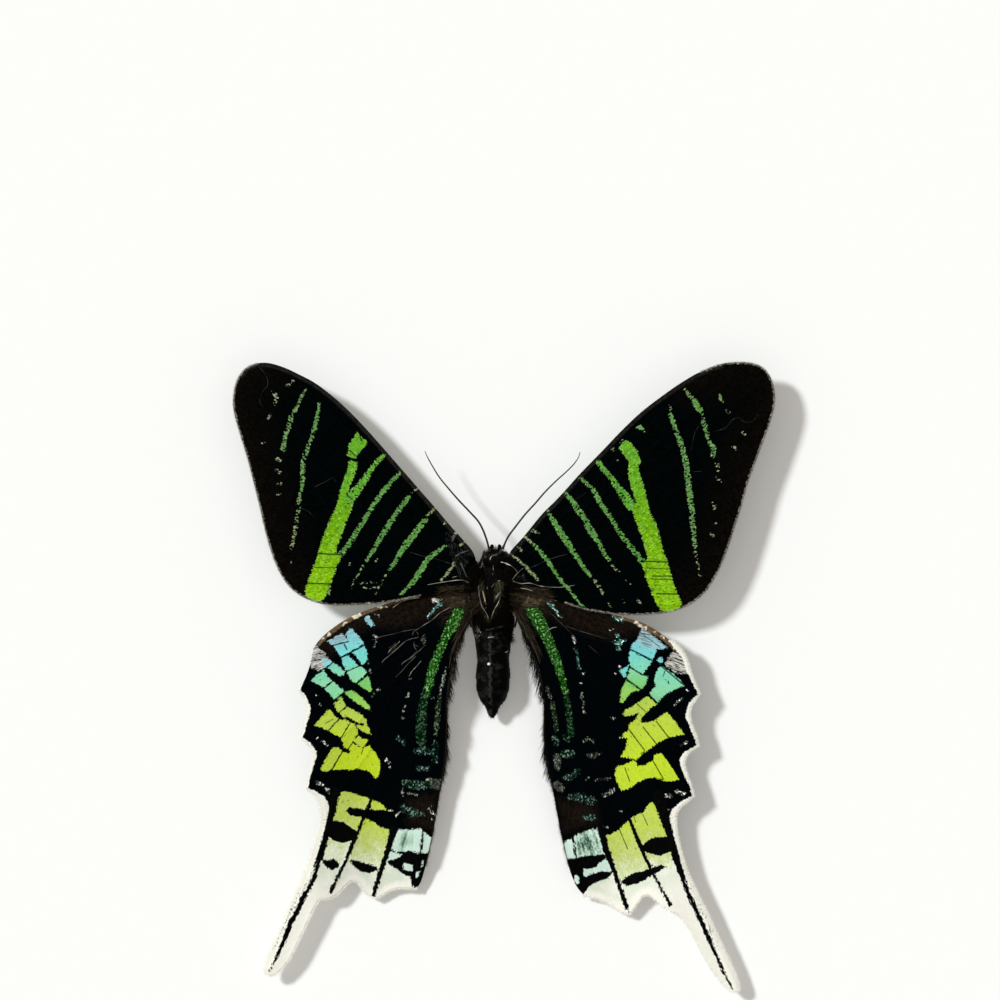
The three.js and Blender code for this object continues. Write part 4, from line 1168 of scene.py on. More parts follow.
def named(graph, name, kind="FLOAT"):
    """An attribute of the points, in a Geometry Nodes tree."""
    return graph.node("GeometryNodeInputNamedAttribute", {"Name": name}, data_type=kind)


def random_number(graph, low, high, seed):
    return graph.node("FunctionNodeRandomValue", {2: low, 3: high, "Seed": seed}, 1, data_type="FLOAT")


def grow_hairs(graph, given, points):
    """Puts a bent, pointed hair on each point, along the point's comb and of the point's length."""
    seed, away = given["Seed"], given["Spread"]
    place = graph.node("GeometryNodeInputPosition")
    x, y, height = graph.parts(place)
    shape = {"Vertices": 3, "Side Segments": 3, "Radius Top": 0.12, "Radius Bottom": 1.0, "Depth": 1.0}
    cone = graph.node("GeometryNodeMeshCone", shape, fill_type="NGON")
    bent = graph.vector(given["Bend"] / given["Radius"] * height * height, 0.0, 0.0)
    hair = graph.node("GeometryNodeSetPosition", {"Geometry": cone, "Offset": bent})
    stray = graph.vector(*(random_number(graph, away * -1.0, away, seed + k) for k in (1, 2, 3)))
    comb = named(graph, "comb", "FLOAT_VECTOR")
    aim = graph.node("ShaderNodeVectorMath", {0: comb, 1: stray}, operation="ADD")
    turn = graph.node("FunctionNodeAlignRotationToVector", {"Vector": aim}, axis="Z")
    spin = graph.node("FunctionNodeAxisAngleToRotation", {
        "Axis": (0, 0, 1), "Angle": random_number(graph, 0.0, 2 * math.pi, seed + 4),
    })
    turn = graph.node(
        "FunctionNodeRotateRotation", {"Rotation": turn, "Rotate By": spin}, rotation_space="LOCAL"
    )
    length = named(graph, "length") * random_number(graph, 0.55, 1.0, seed + 5)
    radius = given["Radius"] * random_number(graph, 0.7, 1.2, seed + 6)
    hairs = graph.node("GeometryNodeInstanceOnPoints", {
        "Points": points, "Instance": hair, "Rotation": turn, "Scale": graph.vector(radius, radius, length),
    })
    tint = random_number(graph, 0.0, 1.0, seed + 7)
    for name, kind, value in (("root", "FLOAT_VECTOR", place), ("tint", "FLOAT", tint)):
        inputs = {"Geometry": hairs, "Name": name, "Value": value}
        hairs = graph.node("GeometryNodeStoreNamedAttribute", inputs, data_type=kind, domain="INSTANCE")
    hairs = graph.node("GeometryNodeRealizeInstances", {"Geometry": hairs})
    # What would go through the floor lies on it.
    lifted = graph.vector(x, y, height.most(0.02 * MM))
    hairs = graph.node("GeometryNodeSetPosition", {"Geometry": hairs, "Position": lifted})
    hairs = graph.node("GeometryNodeSetMaterial", {"Geometry": hairs, "Material": given["Material"]})
    graph.node("NodeGroupOutput", {"Mesh": hairs})


def coat_tree():
    """Hairs all over a surface. The surface's coat attribute thins them out."""
    graph, given = new_tree("hair_coat", "Density")
    inputs = {
        "Mesh": given["Mesh"], "Density": given["Density"] * named(graph, "coat"), "Seed": given["Seed"],
    }
    spread = graph.node("GeometryNodeDistributePointsOnFaces", inputs, distribute_method="RANDOM")
    grow_hairs(graph, given, spread)
    return graph.tree


def fringe_tree():
    """Hairs or narrow scales in a row along an edge."""
    graph, given = new_tree("edge_fringe", "Spacing")
    path = graph.node("GeometryNodeMeshToCurve", {"Mesh": given["Mesh"]})
    inputs = {"Curve": path, "Length": given["Spacing"]}
    grow_hairs(graph, given, graph.node("GeometryNodeResampleCurve", inputs, mode="LENGTH"))
    return graph.tree


def grown(name, source, tree, look, seed, sizes):
    """The plain mesh that a tree grows from an object. The object itself isn't kept."""
    modifier = source.modifiers.new(name, "NODES")
    modifier.node_group = tree
    inputs = [socket.identifier for socket in tree.interface.items_tree if socket.in_out == "INPUT"]
    for identifier, value in zip(inputs[1:], (*sizes, seed, look)):
        modifier[identifier] = value
    depsgraph = bpy.context.evaluated_depsgraph_get()
    mesh = bpy.data.meshes.new_from_object(
        source.evaluated_get(depsgraph), preserve_all_data_layers=True, depsgraph=depsgraph
    )
    bpy.data.objects.remove(source)
    return linked(name, mesh)


# Lofted shells and tubes


def loft_shape(rings):
    """Points and triangles of a closed shell through rings of points, with a point at each end."""
    rings = np.asarray(rings, float)
    count, sides = rings.shape[:2]
    points = np.vstack([rings.reshape(-1, 3), rings[0].mean(0), rings[-1].mean(0)])
    i, j = np.meshgrid(np.arange(count - 1), np.arange(sides), indexing="ij")
    a, b = (i * sides + j).ravel(), (i * sides + (j + 1) % sides).ravel()
    side, beside = np.arange(sides), (np.arange(sides) + 1) % sides
    pole, last = np.full(sides, count * sides), (count - 1) * sides
    faces = np.vstack([
        np.stack([a, b, b + sides], 1),
        np.stack([a, b + sides, a + sides], 1),
        np.stack([pole, beside, side], 1),
        np.stack([pole + 1, last + side, last + beside], 1),
    ])
    p, q, r = points[faces].transpose(1, 0, 2)
    if np.einsum("ij,ij->", p, np.cross(q, r)) < 0:
        faces = faces[:, ::-1]
    return points, faces


def loft(name, rings, materials):
    return mesh_object(name, *loft_shape(rings), materials)


def cross_section(y, half_width, bottom, top, sides, x=0.0):
    """A ring across the body at y, rounder than a box and fuller than an oval. Given in millimetres."""
    angle = np.linspace(0, 2 * np.pi, sides, endpoint=False)
    wide, high = (np.sign(v) * np.abs(v) ** 0.9 for v in (np.cos(angle), np.sin(angle)))
    middle, half_height = (bottom + top) / 2, (top - bottom) / 2
    return np.column_stack([x + half_width * wide, np.full(sides, y), middle + half_height * high]) * MM


def tube_rings(path, radii, sides):
    """Rings of the given radii around a path in millimetres, turned no more than the path turns."""
    ahead = unit(np.gradient(path, axis=0))
    across = np.cross(ahead[0], (0.0, 0.0, 1.0))
    angle = np.linspace(0, 2 * np.pi, sides, endpoint=False)[:, None]
    rings = []
    for middle, way, radius in zip(path, ahead, radii):
        across = unit(across - way * (across @ way))
        up = np.cross(across, way)
        rings.append(middle + radius * (np.cos(angle) * across + np.sin(angle) * up))
    return np.array(rings) * MM


def skin_of(piece):
    """The places of a piece's points in millimetres, and their normals."""
    mesh = piece.data
    points, normals = np.empty((2, len(mesh.vertices) * 3), np.float32)
    mesh.vertices.foreach_get("co", points)
    mesh.vertex_normals.foreach_get("vector", normals)
    return points.reshape(-1, 3) / MM, normals.reshape(-1, 3)


def unit(vectors):
    return vectors / np.maximum(np.linalg.norm(vectors, axis=-1, keepdims=True), 1e-12)


def mantle(name, skin, comb, length, coat, look, seed, *sizes):
    """Hairs on a skin, of a density, a radius, a bend and a spread. The skin's coat thins them out."""
    source = linked(name, skin.data.copy())
    store(source, "comb", comb, "FLOAT_VECTOR")
    store(source, "length", length)
    store(source, "coat", coat)
    on_root(grown(name, source, coat_tree(), look, seed, sizes), "body_hair")


# Body

# A section of the thorax: place along Y, half width, bottom and top, in millimetres.
THORAX_SECTIONS = [
    (4.4, 0.6, 2.2, 3.5), (4.2, 1.4, 1.6, 4.0), (3.6, 1.9, 0.9, 4.5), (2.2, 2.3, 0.4, 5.1),
    (0.5, 2.5, 0.25, 5.35), (-1.0, 2.4, 0.25, 5.3), (-2.4, 2.15, 0.35, 4.8), (-3.3, 1.8, 0.8, 4.2),
    (-3.9, 0.9, 1.5, 3.3),
]
THORAX_STRIPES = [
    (482,577, 482.5,589, 4.4), (484.5,590, 486,600, 1.2), (479,587, 481,602, 0.8), (481,602, 485,611, 0.8),
    (485,611, 489,619, 0.8), (499.5,580, 497.5,590, 7), (500.5,590, 499.5,600, 1.2),
    (496,593, 494.5,599, 2.4), (499.5,601, 494,609, 0.9), (494,609, 491,616, 0.8),
]
HEAD_STRIPES = [
    (490,560, 491,556, 1.4), (491,556, 498,555, 1.6), (498,555, 501,551, 1.3),
]
# Places in millimetres, the palps' from the head's centre.
HEAD_CENTRE = np.array([0.35, 5.2, 2.95])
PALP_PATH = [(0.45, 0.9, -1.0), (0.52, 1.4, -0.95), (0.5, 1.75, -0.6), (0.42, 1.93, -0.2)]
# The abdomen's half width, by the share of its length from the front.
ABDOMEN_SHARES = [0.0, 0.13, 0.25, 0.34, 0.4, 0.46, 0.58, 0.68, 0.74, 0.81, 0.86, 0.9, 0.94, 0.97, 1.0]
ABDOMEN_HALVES = [1.8, 2.26, 2.2, 2.06, 2.08, 2.24, 2.24, 2.14, 1.98, 1.6, 1.12, 0.82, 0.66, 0.46, 0.14]
ANTENNA_PATHS = {
    "left": at(489.5,551, 487,541, 483,530, 478,521, 469,511, 459,500.5, 449,489, 440,478, 433,467,
        427.5,457, 425,451),
    "right": at(502.5,549, 508,537, 516,526, 525,514.5, 535,503.5, 545,492, 556,481, 566,472, 573,465,
        578,458, 580,452),
}
ANTENNA_HEIGHTS = [3.9, 4.25, 4.5, 4.65, 4.75, 4.8, 4.85, 4.9, 4.9, 4.9, 4.85]
LEG_PATHS = {"foreleg": [
    (1, 2.4, 1), (2.3, 3.6, 0.75), (1.75, 4.6, 0.45), (1.35, 5.6, 0.24), (1.15, 6.4, 0.16),
], "midleg": [
    (1.3, 0.4, 1), (3.3, 1.3, 0.8), (3.45, -0.6, 0.5), (3.15, -2.4, 0.26), (2.85, -3.7, 0.16),
], "hindleg": [
    (1.2, -2, 0.9), (2.5, -2.6, 0.7), (2.1, -5.4, 0.32), (1.87, -8.2, 0.2), (1.6, -11.2, 0.14),
]}
LEG_RADII = [0.4, 0.34, 0.24, 0.15, 0.1]


def hair_look(name, dark, light, stripes=(), stripe_shade=None):
    """Hair whose strands differ a little, with strands of another colour along some lines."""
    graph = new_look(name)
    tint = graph.value("tint")
    shade = graph.mix(tint * tint, dark, light)
    if stripes:
        depth = hairline_depth(graph, stripes, graph.value("root", "Vector"))
        shown = (depth + (tint - 0.5) * 1.2).rise(-0.4, 0.5)
        shade = graph.mix(shown, shade, graph.tint(stripe_shade, 0.55 + tint * 0.6))
    return graph.finish(shade, 0.7, 0.02)


def skin_look(name, shade, gloss):
    graph = new_look(name)
    grain = graph.grain(0.12, 0.12, 0.12, 3.0)
    shade = graph.tint(shade, 0.6 + grain * 0.8)
    return graph.finish(shade, 1.0 - gloss, 0.08, graph.bump(grain, 0.04 * MM, 0.4))


def make_thorax(settings):
    rings = [cross_section(*row, 48) for row in smooth_run(THORAX_SECTIONS, 0.22)]
    skin = loft("thorax_skin", rings, [skin_look("thorax_shell", (7, 6, 5), 0.3)])
    on_root(skin, "body_hair", "thorax")
    points, normals = skin_of(skin)
    back = np.column_stack([points[:, 0] * 0.12, np.full(len(points), -1.0), np.full(len(points), -0.1)])
    length = settings.hair_length * np.interp(points[:, 1], (-3.8, -2.5, 2.5, 4), (1.15, 1.0, 0.9, 0.6))
    look = hair_look("thorax_fur", (2, 2, 1), (24, 20, 14), THORAX_STRIPES, (98, 98, 74))
    mantle(
        "thorax_hair", skin, unit(normals * 0.75 + back), length, 1.0, look, 3,
        settings.hair_density, settings.hair_radius, 0.16 * MM, 0.34,
    )


def make_eye(name, middle, look):
    turn = np.linspace(0, 2 * np.pi, 32, endpoint=False)
    sign = np.sign(middle[0] - HEAD_CENTRE[0])
    rings = [
        middle + np.column_stack([
            np.full(32, sign * 0.74 * math.cos(a)), 0.88 * math.sin(a) * np.cos(turn),
            0.9 * math.sin(a) * np.sin(turn),
        ])
        for a in np.linspace(0.08, np.pi - 0.08, 24)
    ]
    on_root(loft(name, np.array(rings) * MM, [look]), "eye_shell")


def eye_look():
    graph = new_look("compound_eye")
    inputs = {"Vector": graph.place((0.045 * MM,) * 3), "Scale": 1.0, "Randomness": 0.15}
    facets = graph.node("ShaderNodeTexVoronoi", inputs)
    mottle = graph.grain(0.5, 0.3, 0.5)
    shade = graph.mix(mottle, (7, 6, 5), (24, 18, 13))
    return graph.finish(shade, 0.4, 0.12, graph.bump(1.0 - facets, 0.01 * MM))


def make_head(settings):
    x, y, z = HEAD_CENTRE
    radius = 1.4
    rings = [
        cross_section(y + radius * math.cos(a), radius * math.sin(a), z - 1.2 * math.sin(a),
                      z + 1.2 * math.sin(a), 32, x)
        for a in np.linspace(0.12, np.pi - 0.12, 26)
    ]
    skull = loft("head_skin", rings, [skin_look("head_shell", (7, 6, 5), 0.3)])
    on_root(skull, "body_hair", "head")
    points, normals = skin_of(skull)
    front = np.clip((points[:, 1] - y) / radius, -1, 1)
    back = np.column_stack([0 * front, -0.8 + 0.9 * (front > 0.35), 0.25 + 0 * front])
    look = hair_look("head_fur", (2, 2, 2), (20, 18, 15), HEAD_STRIPES, (130, 132, 124))
    mantle(
        "head_hair", skull, unit(normals * 0.8 + back), 0.7 * MM, 1.0, look, 11,
        settings.hair_density * 1.1, settings.hair_radius, 0.06 * MM, 0.25,
    )
    look = eye_look()
    for side, sign in SIDES.items():
        make_eye(f"{side}_eye", HEAD_CENTRE + (sign * 1.12, 0.25, -0.12), look)
        path = smooth_run(HEAD_CENTRE + np.array(PALP_PATH) * (sign, 1, 1), 0.1)
        reach = np.linspace(0, 1, len(path))
        radii = np.interp(reach, (0, 0.4, 0.62, 0.7, 0.92, 1), (0.2, 0.3, 0.24, 0.26, 0.15, 0.04))
        scales = skin_look(f"{side}_palp_scales", (10, 9, 8), 0.4)
        on_root(loft(f"{side}_palp", tube_rings(path, radii, 16), [scales]), "body_hair")


def abdomen_rings():
    """Rings of seven overlapping segments. Each swells towards its rear and hides the next one's front."""
    front, length, segments = -3.4, 12.05, 7
    near_seam = np.array([-0.03, -0.012, 0.0, 0.012])
    seams = [(k + near_seam) / segments for k in range(1, segments)]
    rings = []
    for share in np.unique(np.concatenate([np.linspace(0, 1, 120), *seams])):
        part = (share * segments) % 1
        swell = 0.955 + 0.055 * part**0.6 if share < 0.98 else 1.0
        half = np.interp(share, ABDOMEN_SHARES, ABDOMEN_HALVES) * swell
        middle, keel = 2.05 - 0.35 * share, 0.97 * half
        bottom, top = max(0.05, middle - keel), middle + keel
        rings.append(cross_section(front - length * share, half, bottom, top, 56, 0.12 - 0.22 * share))
    return rings


def make_abdomen(settings):
    graph = new_look("abdomen_scales")
    grain = graph.grain(0.07, 0.3, 0.07, 3.0)
    # Lighter blotches and a paler stripe down the middle of the back are painted sheen highlights.
    wear_and_sheen = graph.grain(1.3, 0.9, 1.3).rise(0.5, 0.75)
    wander = graph.grain(1.2, 0.8, 1.2)
    x, _, _ = graph.parts(graph.spot())
    aside = ((x + 0.3 * MM) / MM + (wander - 0.5) * 1.5).size()
    ridge = (1.0 - aside.rise(0.05, 0.32)) * wander.rise(0.3, 0.6)
    shade = graph.mix((wear_and_sheen * 0.45).most(ridge), (2, 2, 1), (46, 47, 47))
    bump = graph.bump(grain, 0.04 * MM)
    skin = loft("abdomen_skin", abdomen_rings(), [
        graph.finish(graph.tint(shade, 0.6 + grain * 0.8), 0.5, 0.03, bump)
    ])
    on_root(skin, "abdomen_shell", "abdomen")
    points, normals = skin_of(skin)
    fade = np.interp(points[:, 1], (-15.4, -14.4, -7.5, -5.0, -3.4), (1.0, 0.35, 0.2, 0.7, 1.0))
    length = np.interp(points[:, 1], (-15.0, -13.5, -6.0, -3.5), (0.45, 0.4, 0.45, 1.3)) * MM
    look = hair_look("abdomen_fur", (2, 2, 1), (24, 21, 17))
    mantle(
        "abdomen_hair", skin, unit(normals * 0.16 + (0.0, -1.0, 0.0)), length, fade, look, 19,
        settings.hair_density * 0.5, settings.hair_radius * 0.8, 0.04 * MM, 0.12,
    )


def make_antennae(settings):
    graph = new_look("antenna_shell")
    shade = graph.mix(graph.grain(0.1, 0.1, 0.1), (8, 8, 8), (34, 30, 26))
    look = graph.finish(shade, 0.45, 0.35)
    for side, pixels in ANTENNA_PATHS.items():
        line = np.column_stack([on_model(pixels) / MM, ANTENNA_HEIGHTS])
        path = smooth_run(line, settings.ring_length / MM / 4)
        reach = np.linspace(0, 1, len(path))
        ringed = 1 + 0.09 * np.cos(np.arange(len(path)) * np.pi / 2)
        radii = np.interp(reach, (0, 0.02, 0.05, 0.5, 0.9, 1), (0.2, 0.19, 0.13, 0.115, 0.075, 0.04))
        thread = loft(f"{side}_antenna_thread", tube_rings(path, radii * ringed, 10), [look])
        on_root(thread, "antenna_shell", f"{side}_antenna")


def make_legs(settings):
    graph = new_look("leg_scales")
    grain = graph.grain(0.1, 0.1, 0.1, 3.0)
    shade = graph.mix(grain, (14, 12, 11), (58, 50, 40))
    look = graph.finish(shade, 0.5, 0.35, graph.bump(grain, 0.03 * MM))
    spines = hair_look("leg_spines", (14, 12, 10), (60, 50, 40))
    sides = 16
    for name, points in LEG_PATHS.items():
        for side, sign in SIDES.items():
            path = smooth_run(np.array(points) * (sign, 1, 1), 0.12)
            reach = np.linspace(0, 1, len(path))
            joints = 1 + 0.22 * np.exp(-(((reach * 4) % 1 - 0.98) / 0.06) ** 2)
            radii = np.interp(reach, np.linspace(0, 1, 5), LEG_RADII) * joints * 0.94
            ends = np.interp(reach, (0, 0.03, 0.985, 1), (0.7, 1, 1, 0.35))
            leg = loft(f"{side}_{name}_segments", tube_rings(path, radii * ends, sides), [look])
            on_root(leg, "leg_shell", f"{side}_{name}")
            flow = unit(np.repeat(np.gradient(path, axis=0), sides, axis=0))
            flow = np.vstack([flow, flow[:1], flow[-1:]])
            mantle(
                f"{side}_{name}_spines", leg, unit(skin_of(leg)[1] * 0.6 + flow), 0.28 * MM, 1.0, spines,
                23, settings.hair_density * 0.25, settings.hair_radius, 0.02 * MM, 0.1,
            )


# Fur at the wings' roots and single hairs, laid on what is already built, with some painted shade and
# highlights

# Looks: dark and light shade of their strands.
FUR_LOOKS = {
    "black_fur": ((2, 2, 2), (26, 22, 16)),
    "brown_fur": ((15, 11, 7), (98, 84, 66)),
    "roan_fur": ((48, 38, 28), (160, 142, 114)),
    "tan_fur": ((104, 84, 60), (226, 208, 174)),
    "grey_fur": ((6, 8, 8), (94, 98, 94)),
    "veil_fur_and_shade": ((16, 14, 10), (86, 79, 62)),
    "silver_fur": ((30, 28, 26), (128, 122, 112)),
    "dusk_fur": ((30, 24, 22), (86, 79, 77)),
    "pale_fur_and_highlights": ((60, 57, 48), (204, 198, 182)),
}
# (look, length in mm, hairs per square mm, direction in pixels of the photograph, rise, area)
FUR_AREAS = [
    ("black_fur", 0.9, 110, (-0.25, 1), 0.25, at(477,560, 487,562, 488,580, 480,606, 469,607, 465,590,
     464,576, 470,567)),
    ("black_fur", 0.9, 110, (0.25, 1), 0.25, at(500,560, 511,556, 518,566, 523,580, 519,607, 508,607,
     498,580)),
    ("brown_fur", 1.2, 70, (-1, 0.12), 0.2, at(442,586, 466,585, 480,590, 481,612, 466,609, 450,606,
     440,600)),
    ("brown_fur", 1.2, 70, (1, 0.15), 0.2, at(507,590, 522,585, 545,588, 551,598, 540,606, 522,608,
     508,612)), ("tan_fur", 0.55, 130, (0.6, -0.5), 0.35, at(521,606, 527,598, 533,601, 541,600, 537,607)),
    ("roan_fur", 0.6, 130, (-0.9, 0.25), 0.3, at(446,598, 460,596, 466,600, 466,606, 452,608)),
    ("roan_fur", 0.5, 70, (0.9, 0.25), 0.3, at(513,592, 524,592, 524,600, 514,602)),
    ("grey_fur", 0.55, 42, (-0.5, -0.9), 0.25, at(444,534, 452,533, 459,549, 471,552, 470,560, 464,570,
     472,583, 465,586, 456,568, 449,552)),
    ("grey_fur", 0.4, 60, (0.6, -0.6), 0.3, at(513,577, 524,575, 527,581, 516,584)),
    # The veil fur beside the body is partly real hair and partly painted shade: it darkens the gaps to the
    # hindwings where shade falls.
    ("veil_fur_and_shade", 1.6, 80, (-0.45, 1), -0.05, at(468,606, 477,608, 472,620, 463,636, 456,650, 451,654,
     456,636, 461,620)),
    ("veil_fur_and_shade", 1.6, 80, (0.45, 1), -0.05, at(512,606, 523,606, 529,624, 536,640, 541,654, 537,654,
     529,640, 520,624)), ("black_fur", 1.1, 110, (0.8, 1), 0, at(500,616, 510,616, 511,640, 502,640)),
    ("pale_fur_and_highlights", 0.4, 16, (-0.6, 0.5), 0.7, at(475,625, 480,625, 481,641, 476,643)),
]
# By look: (radius in mm, height above what it lies on in mm, line in pixels of the photograph)
THREADS = {"pale_fur_and_highlights": [
    (0.055, 0.3, at(428,584.5, 440,582.5, 450,581, 458,580, 465,580.5, 469,583)),
    (0.05, 0.3, at(513,581, 521,583.5, 530,583, 541,586, 552,587, 562,587, 575,585)),
    (0.035, 0.4, at(511,565.5, 515,569, 518,573)), (0.04, 0.3, at(512,580, 515,576, 518,572.5, 523,568)),
    (0.06, 0.35, at(490.2,560, 490.6,557.5, 492.4,555.8, 495,555, 497.5,555.2)),
    (0.065, 0.3, at(492,549, 495,549, 497,547)), (0.05, 0.5, at(493.4,565, 493.2,568, 493.5,570)),
    (0.04, 0.5, at(492.5,573, 492.4,575)),
    (0.05, 0.4, at(478.5,586, 479.2,594, 480.5,601, 482,606, 484.5,610, 487,614, 488.5,619)),
    (0.05, 0.4, at(500.8,592, 500,597, 498,603, 495,608, 492.5,614, 491.5,619)),
    (0.04, 0.4, at(487,587, 487.4,589)), (0.04, 0.4, at(494.5,583, 493,585, 491.5,587)),
    (0.06, 0.3, at(471,593.6, 471.8,594.4)), (0.045, 0.3, at(520,588, 527,589, 533,591)),
    # The first thread on the next line, on the abdomen's side, is a painted highlight.
    (0.05, 0.05, at(505,652.5, 507,652, 508,651)), (0.055, 0.03, at(421,661, 416,667, 412,671)),
    (0.045, 0.03, at(412,671, 410.5,674, 409,676.5)), (0.05, 0.03, at(400,641, 396,645, 391,649, 388,653)),
    (0.055, 0.1, at(545,634, 548,630.5, 552,628, 557,627)),
], "white": [
    (0.085, 0.5, at(501,562, 506,563.4, 511,565.5)), (0.06, 0.5, at(498.6,580.5, 499.8,580.7)),
    # The next three threads, on the abdomen, are painted highlights.
    (0.055, 0.15, at(488,637.5, 491,637, 494,637)), (0.055, 0.2, at(478.6,629, 479.4,631, 481,633)),
    (0.3, 0, at(488.6,662.6, 489,664, 489.2,665.4)),
], "grey_fur": [
    (0.035, 0.2, at(523,568, 532,567, 545,561, 556,557, 568,554)),
    (0.03, 0.2, at(410,552, 425,556.5, 440,560, 450,563.5, 458,567)),
    (0.3, 0.1, at(500.5,592, 498,595.5, 495,600)),
    (0.2, 0.15, at(486,630, 490,629.5, 495,628, 501,626.5, 507,625)),
    (0.02, 0.03, at(258,366, 266,375, 268,385, 263,392, 260,402, 264,408)),
    (0.03, 0.03, at(315,487, 325,482, 333,478, 336,482)), (0.025, 0.03, at(300,508, 308,511, 315,518)),
    (0.02, 0.03, at(712,432, 725,428, 732,420, 738,418, 745,422, 752,421, 758,415)),
    (0.02, 0.03, at(699,425, 694,435, 691,450)), (0.02, 0.03, at(692,472, 702,471)),
    (0.02, 0.03, at(575,500, 587,492)), (0.12, 0.03, at(452,542, 454,538, 457,534)),
    (0.12, 0.03, at(455,557, 460,553.5, 464,552, 469,550.5)), (0.12, 0.03, at(461,563, 464,570, 467,577)),
], "tan_fur": [
    (0.13, 0.4, at(482.8,590.5, 483.6,594, 484.6,598, 485.4,602)), (0.045, 0.5, at(486,603, 486.2,604)),
    (0.04, 0.5, at(486,607, 486.2,608)), (0.07, 0.5, at(499.5,592.5, 497.5,595, 495.5,598)),
    (0.05, 0.3, at(452,577.5, 455,576.6, 457,576.4)),
    (0.1, 0, at(419,597.6, 410,598.8, 402,601.2, 396.5,605, 393,607.6)),
], "brown_fur": [
    (0.045, 0.3, at(468.5,595, 469,600, 471,605, 474,607)),
    (0.05, 0.3, at(510,604, 512,609, 515,613, 519,619)),
], "veil_fur_and_shade": [
    (0.06, 0.4, at(519,618, 524,628, 528,637, 533,645, 537,655, 540,664)),
    (0.05, 0.4, at(514,611, 520,619, 526,629, 531,639, 536,650)),
    (0.06, 0.3, at(472,617, 466,625, 461,633, 456,642, 452,653, 449,668)),
    (0.045, 0.3, at(476,609, 470,611, 464,616, 462,621)),
    (0.055, 0.03, at(520,598, 535,605, 550,613, 562,624, 573,635)),
    (0.03, 0.03, at(588,645, 594,650, 601,656)),
], "silver_fur": [
    (0.09, 0.03, at(456,604, 447,609, 440,613, 432,620, 424,625, 418,629)),
    (0.08, 0.03, at(414,638, 406,641, 398,648, 390,655, 384,660, 382,663)),
    (0.07, 0.03, at(425,645, 419,651, 412,657, 406,661, 402,664)),
    (0.07, 0.03, at(417,651, 410,658, 404,662, 401,665)),
    (0.07, 0.03, at(416,656, 408,664, 402,671, 396,677)), (0.05, 0.03, at(396,643, 392,646, 389,648)),
    (0.05, 0.03, at(397,646, 393,650, 390,653)), (0.08, 0.03, at(418,629, 414,631.5, 412.5,635)),
    (0.11, 0.03, at(414.5,638.5, 417,637.6, 419,637)), (0.05, 0.03, at(417,632, 418.6,635)),
    (0.05, 0.03, at(414,642, 414.2,646, 416.5,650)), (0.05, 0.03, at(415,645, 419,647)),
    (0.05, 0.03, at(422,637, 425.5,634)),
], "dusk_fur": [
    (0.07, 0.03, at(418,629, 405,631, 393,634, 380,637, 372,640)),
    (0.07, 0.03, at(566,626, 580,631, 594,635, 606,639)),
]}


def drop(pixels, trees):
    """The model's places under pixels of the photograph: on top of what is there, or halfway up."""
    places = []
    for x, y in on_model(pixels):
        hits = [tree.ray_cast(Vector((x, y, 0.02)), Vector((0, 0, -1)))[0] for tree in trees]
        places.append((x, y, max((hit.z for hit in hits if hit), default=3.2 * MM)))
    return np.array(places)


def make_threads(look, material, trees, chance):
    """The single hairs of one look, in one mesh. A few white and pale ones are painted highlights."""
    shapes, glows = [], []
    for radius, lift, line in THREADS[look]:
        path = drop(smooth_run(line, 1.2), trees) / MM
        path[:, 2] += lift + radius
        path[1:-1, 2] = (path[:-2, 2] + path[1:-1, 2] + path[2:, 2]) / 3
        reach = np.linspace(0, 1, len(path))
        patches = len(path) // 4 + 2
        glow = np.interp(reach, np.linspace(0, 1, patches), chance.uniform(0.35, 1.0, patches))
        radii = radius * (0.4 + 0.4 * glow) * np.interp(reach, (0, 0.15, 0.8, 1), (0.5, 1, 0.9, 0.35))
        shapes.append(loft_shape(tube_rings(path, radii, 6)))
        glows.extend([*np.repeat(glow, 6), glow[0], glow[-1]])
    starts = np.cumsum([0] + [len(points) for points, _ in shapes])
    points = np.vstack([points for points, _ in shapes])
    faces = np.vstack([faces + start for (_, faces), start in zip(shapes, starts)])
    threads = mesh_object(f"{look}_threads", points, faces, [material])
    store(threads, "tint", np.array(glows))
    on_root(threads, "body_hair")


def make_fur(settings):
    names = [f"{side}_{wing}_wing" for side in SIDES for wing in ("forewing", "hindwing")]
    names += ["thorax_skin", "head_skin", "abdomen_skin"]
    depsgraph = bpy.context.evaluated_depsgraph_get()
    trees = [BVHTree.FromObject(bpy.data.objects[name], depsgraph) for name in names]
    looks = {name: hair_look(name, *shades) for name, shades in FUR_LOOKS.items()}
    looks["white"] = hair_look("white_hair_and_highlights", (190, 188, 174), (244, 242, 230))
    for number, (look, length, density, (right, down), rise, area) in enumerate(FUR_AREAS):
        area = np.asarray(area, float)
        points, triangles = lattice(area.min(0) - 2, area.max(0) + 2, 1.5)
        points, triangles = clipped(points, triangles, area_depth(points, area))
        patch = mesh_object("patch", drop(points, trees), triangles[:, ::-1], [])
        comb = unit(np.array([right, -down, 0.0])) + (0, 0, rise)
        mantle(
            f"{look}_{number}", patch, comb, length * MM, 1.0, looks[look], 31 + number,
            density / MM**2, settings.hair_radius * 1.3, 0.12 * MM, 0.35,
        )
        bpy.data.objects.remove(patch)
    chance = np.random.default_rng(7)
    for look, material in looks.items():
        if look in THREADS:
            make_threads(look, material, trees, chance)


# Stage


def floor_paper(shade):
    graph = new_look("white_paper")
    grain = graph.grain(2, 2, 2, 3.0)
    inputs = {0: shade[:3], "Scale": 0.99 + grain * 0.02}
    shade = graph.node("ShaderNodeVectorMath", inputs, operation="SCALE")
    glow = {"Emission Color": WARM_WHITE, "Emission Strength": 0.16}
    graph.fill(graph.tree.nodes["Principled BSDF"], glow)
    return graph.finish(shade, 0.9, 0.0)


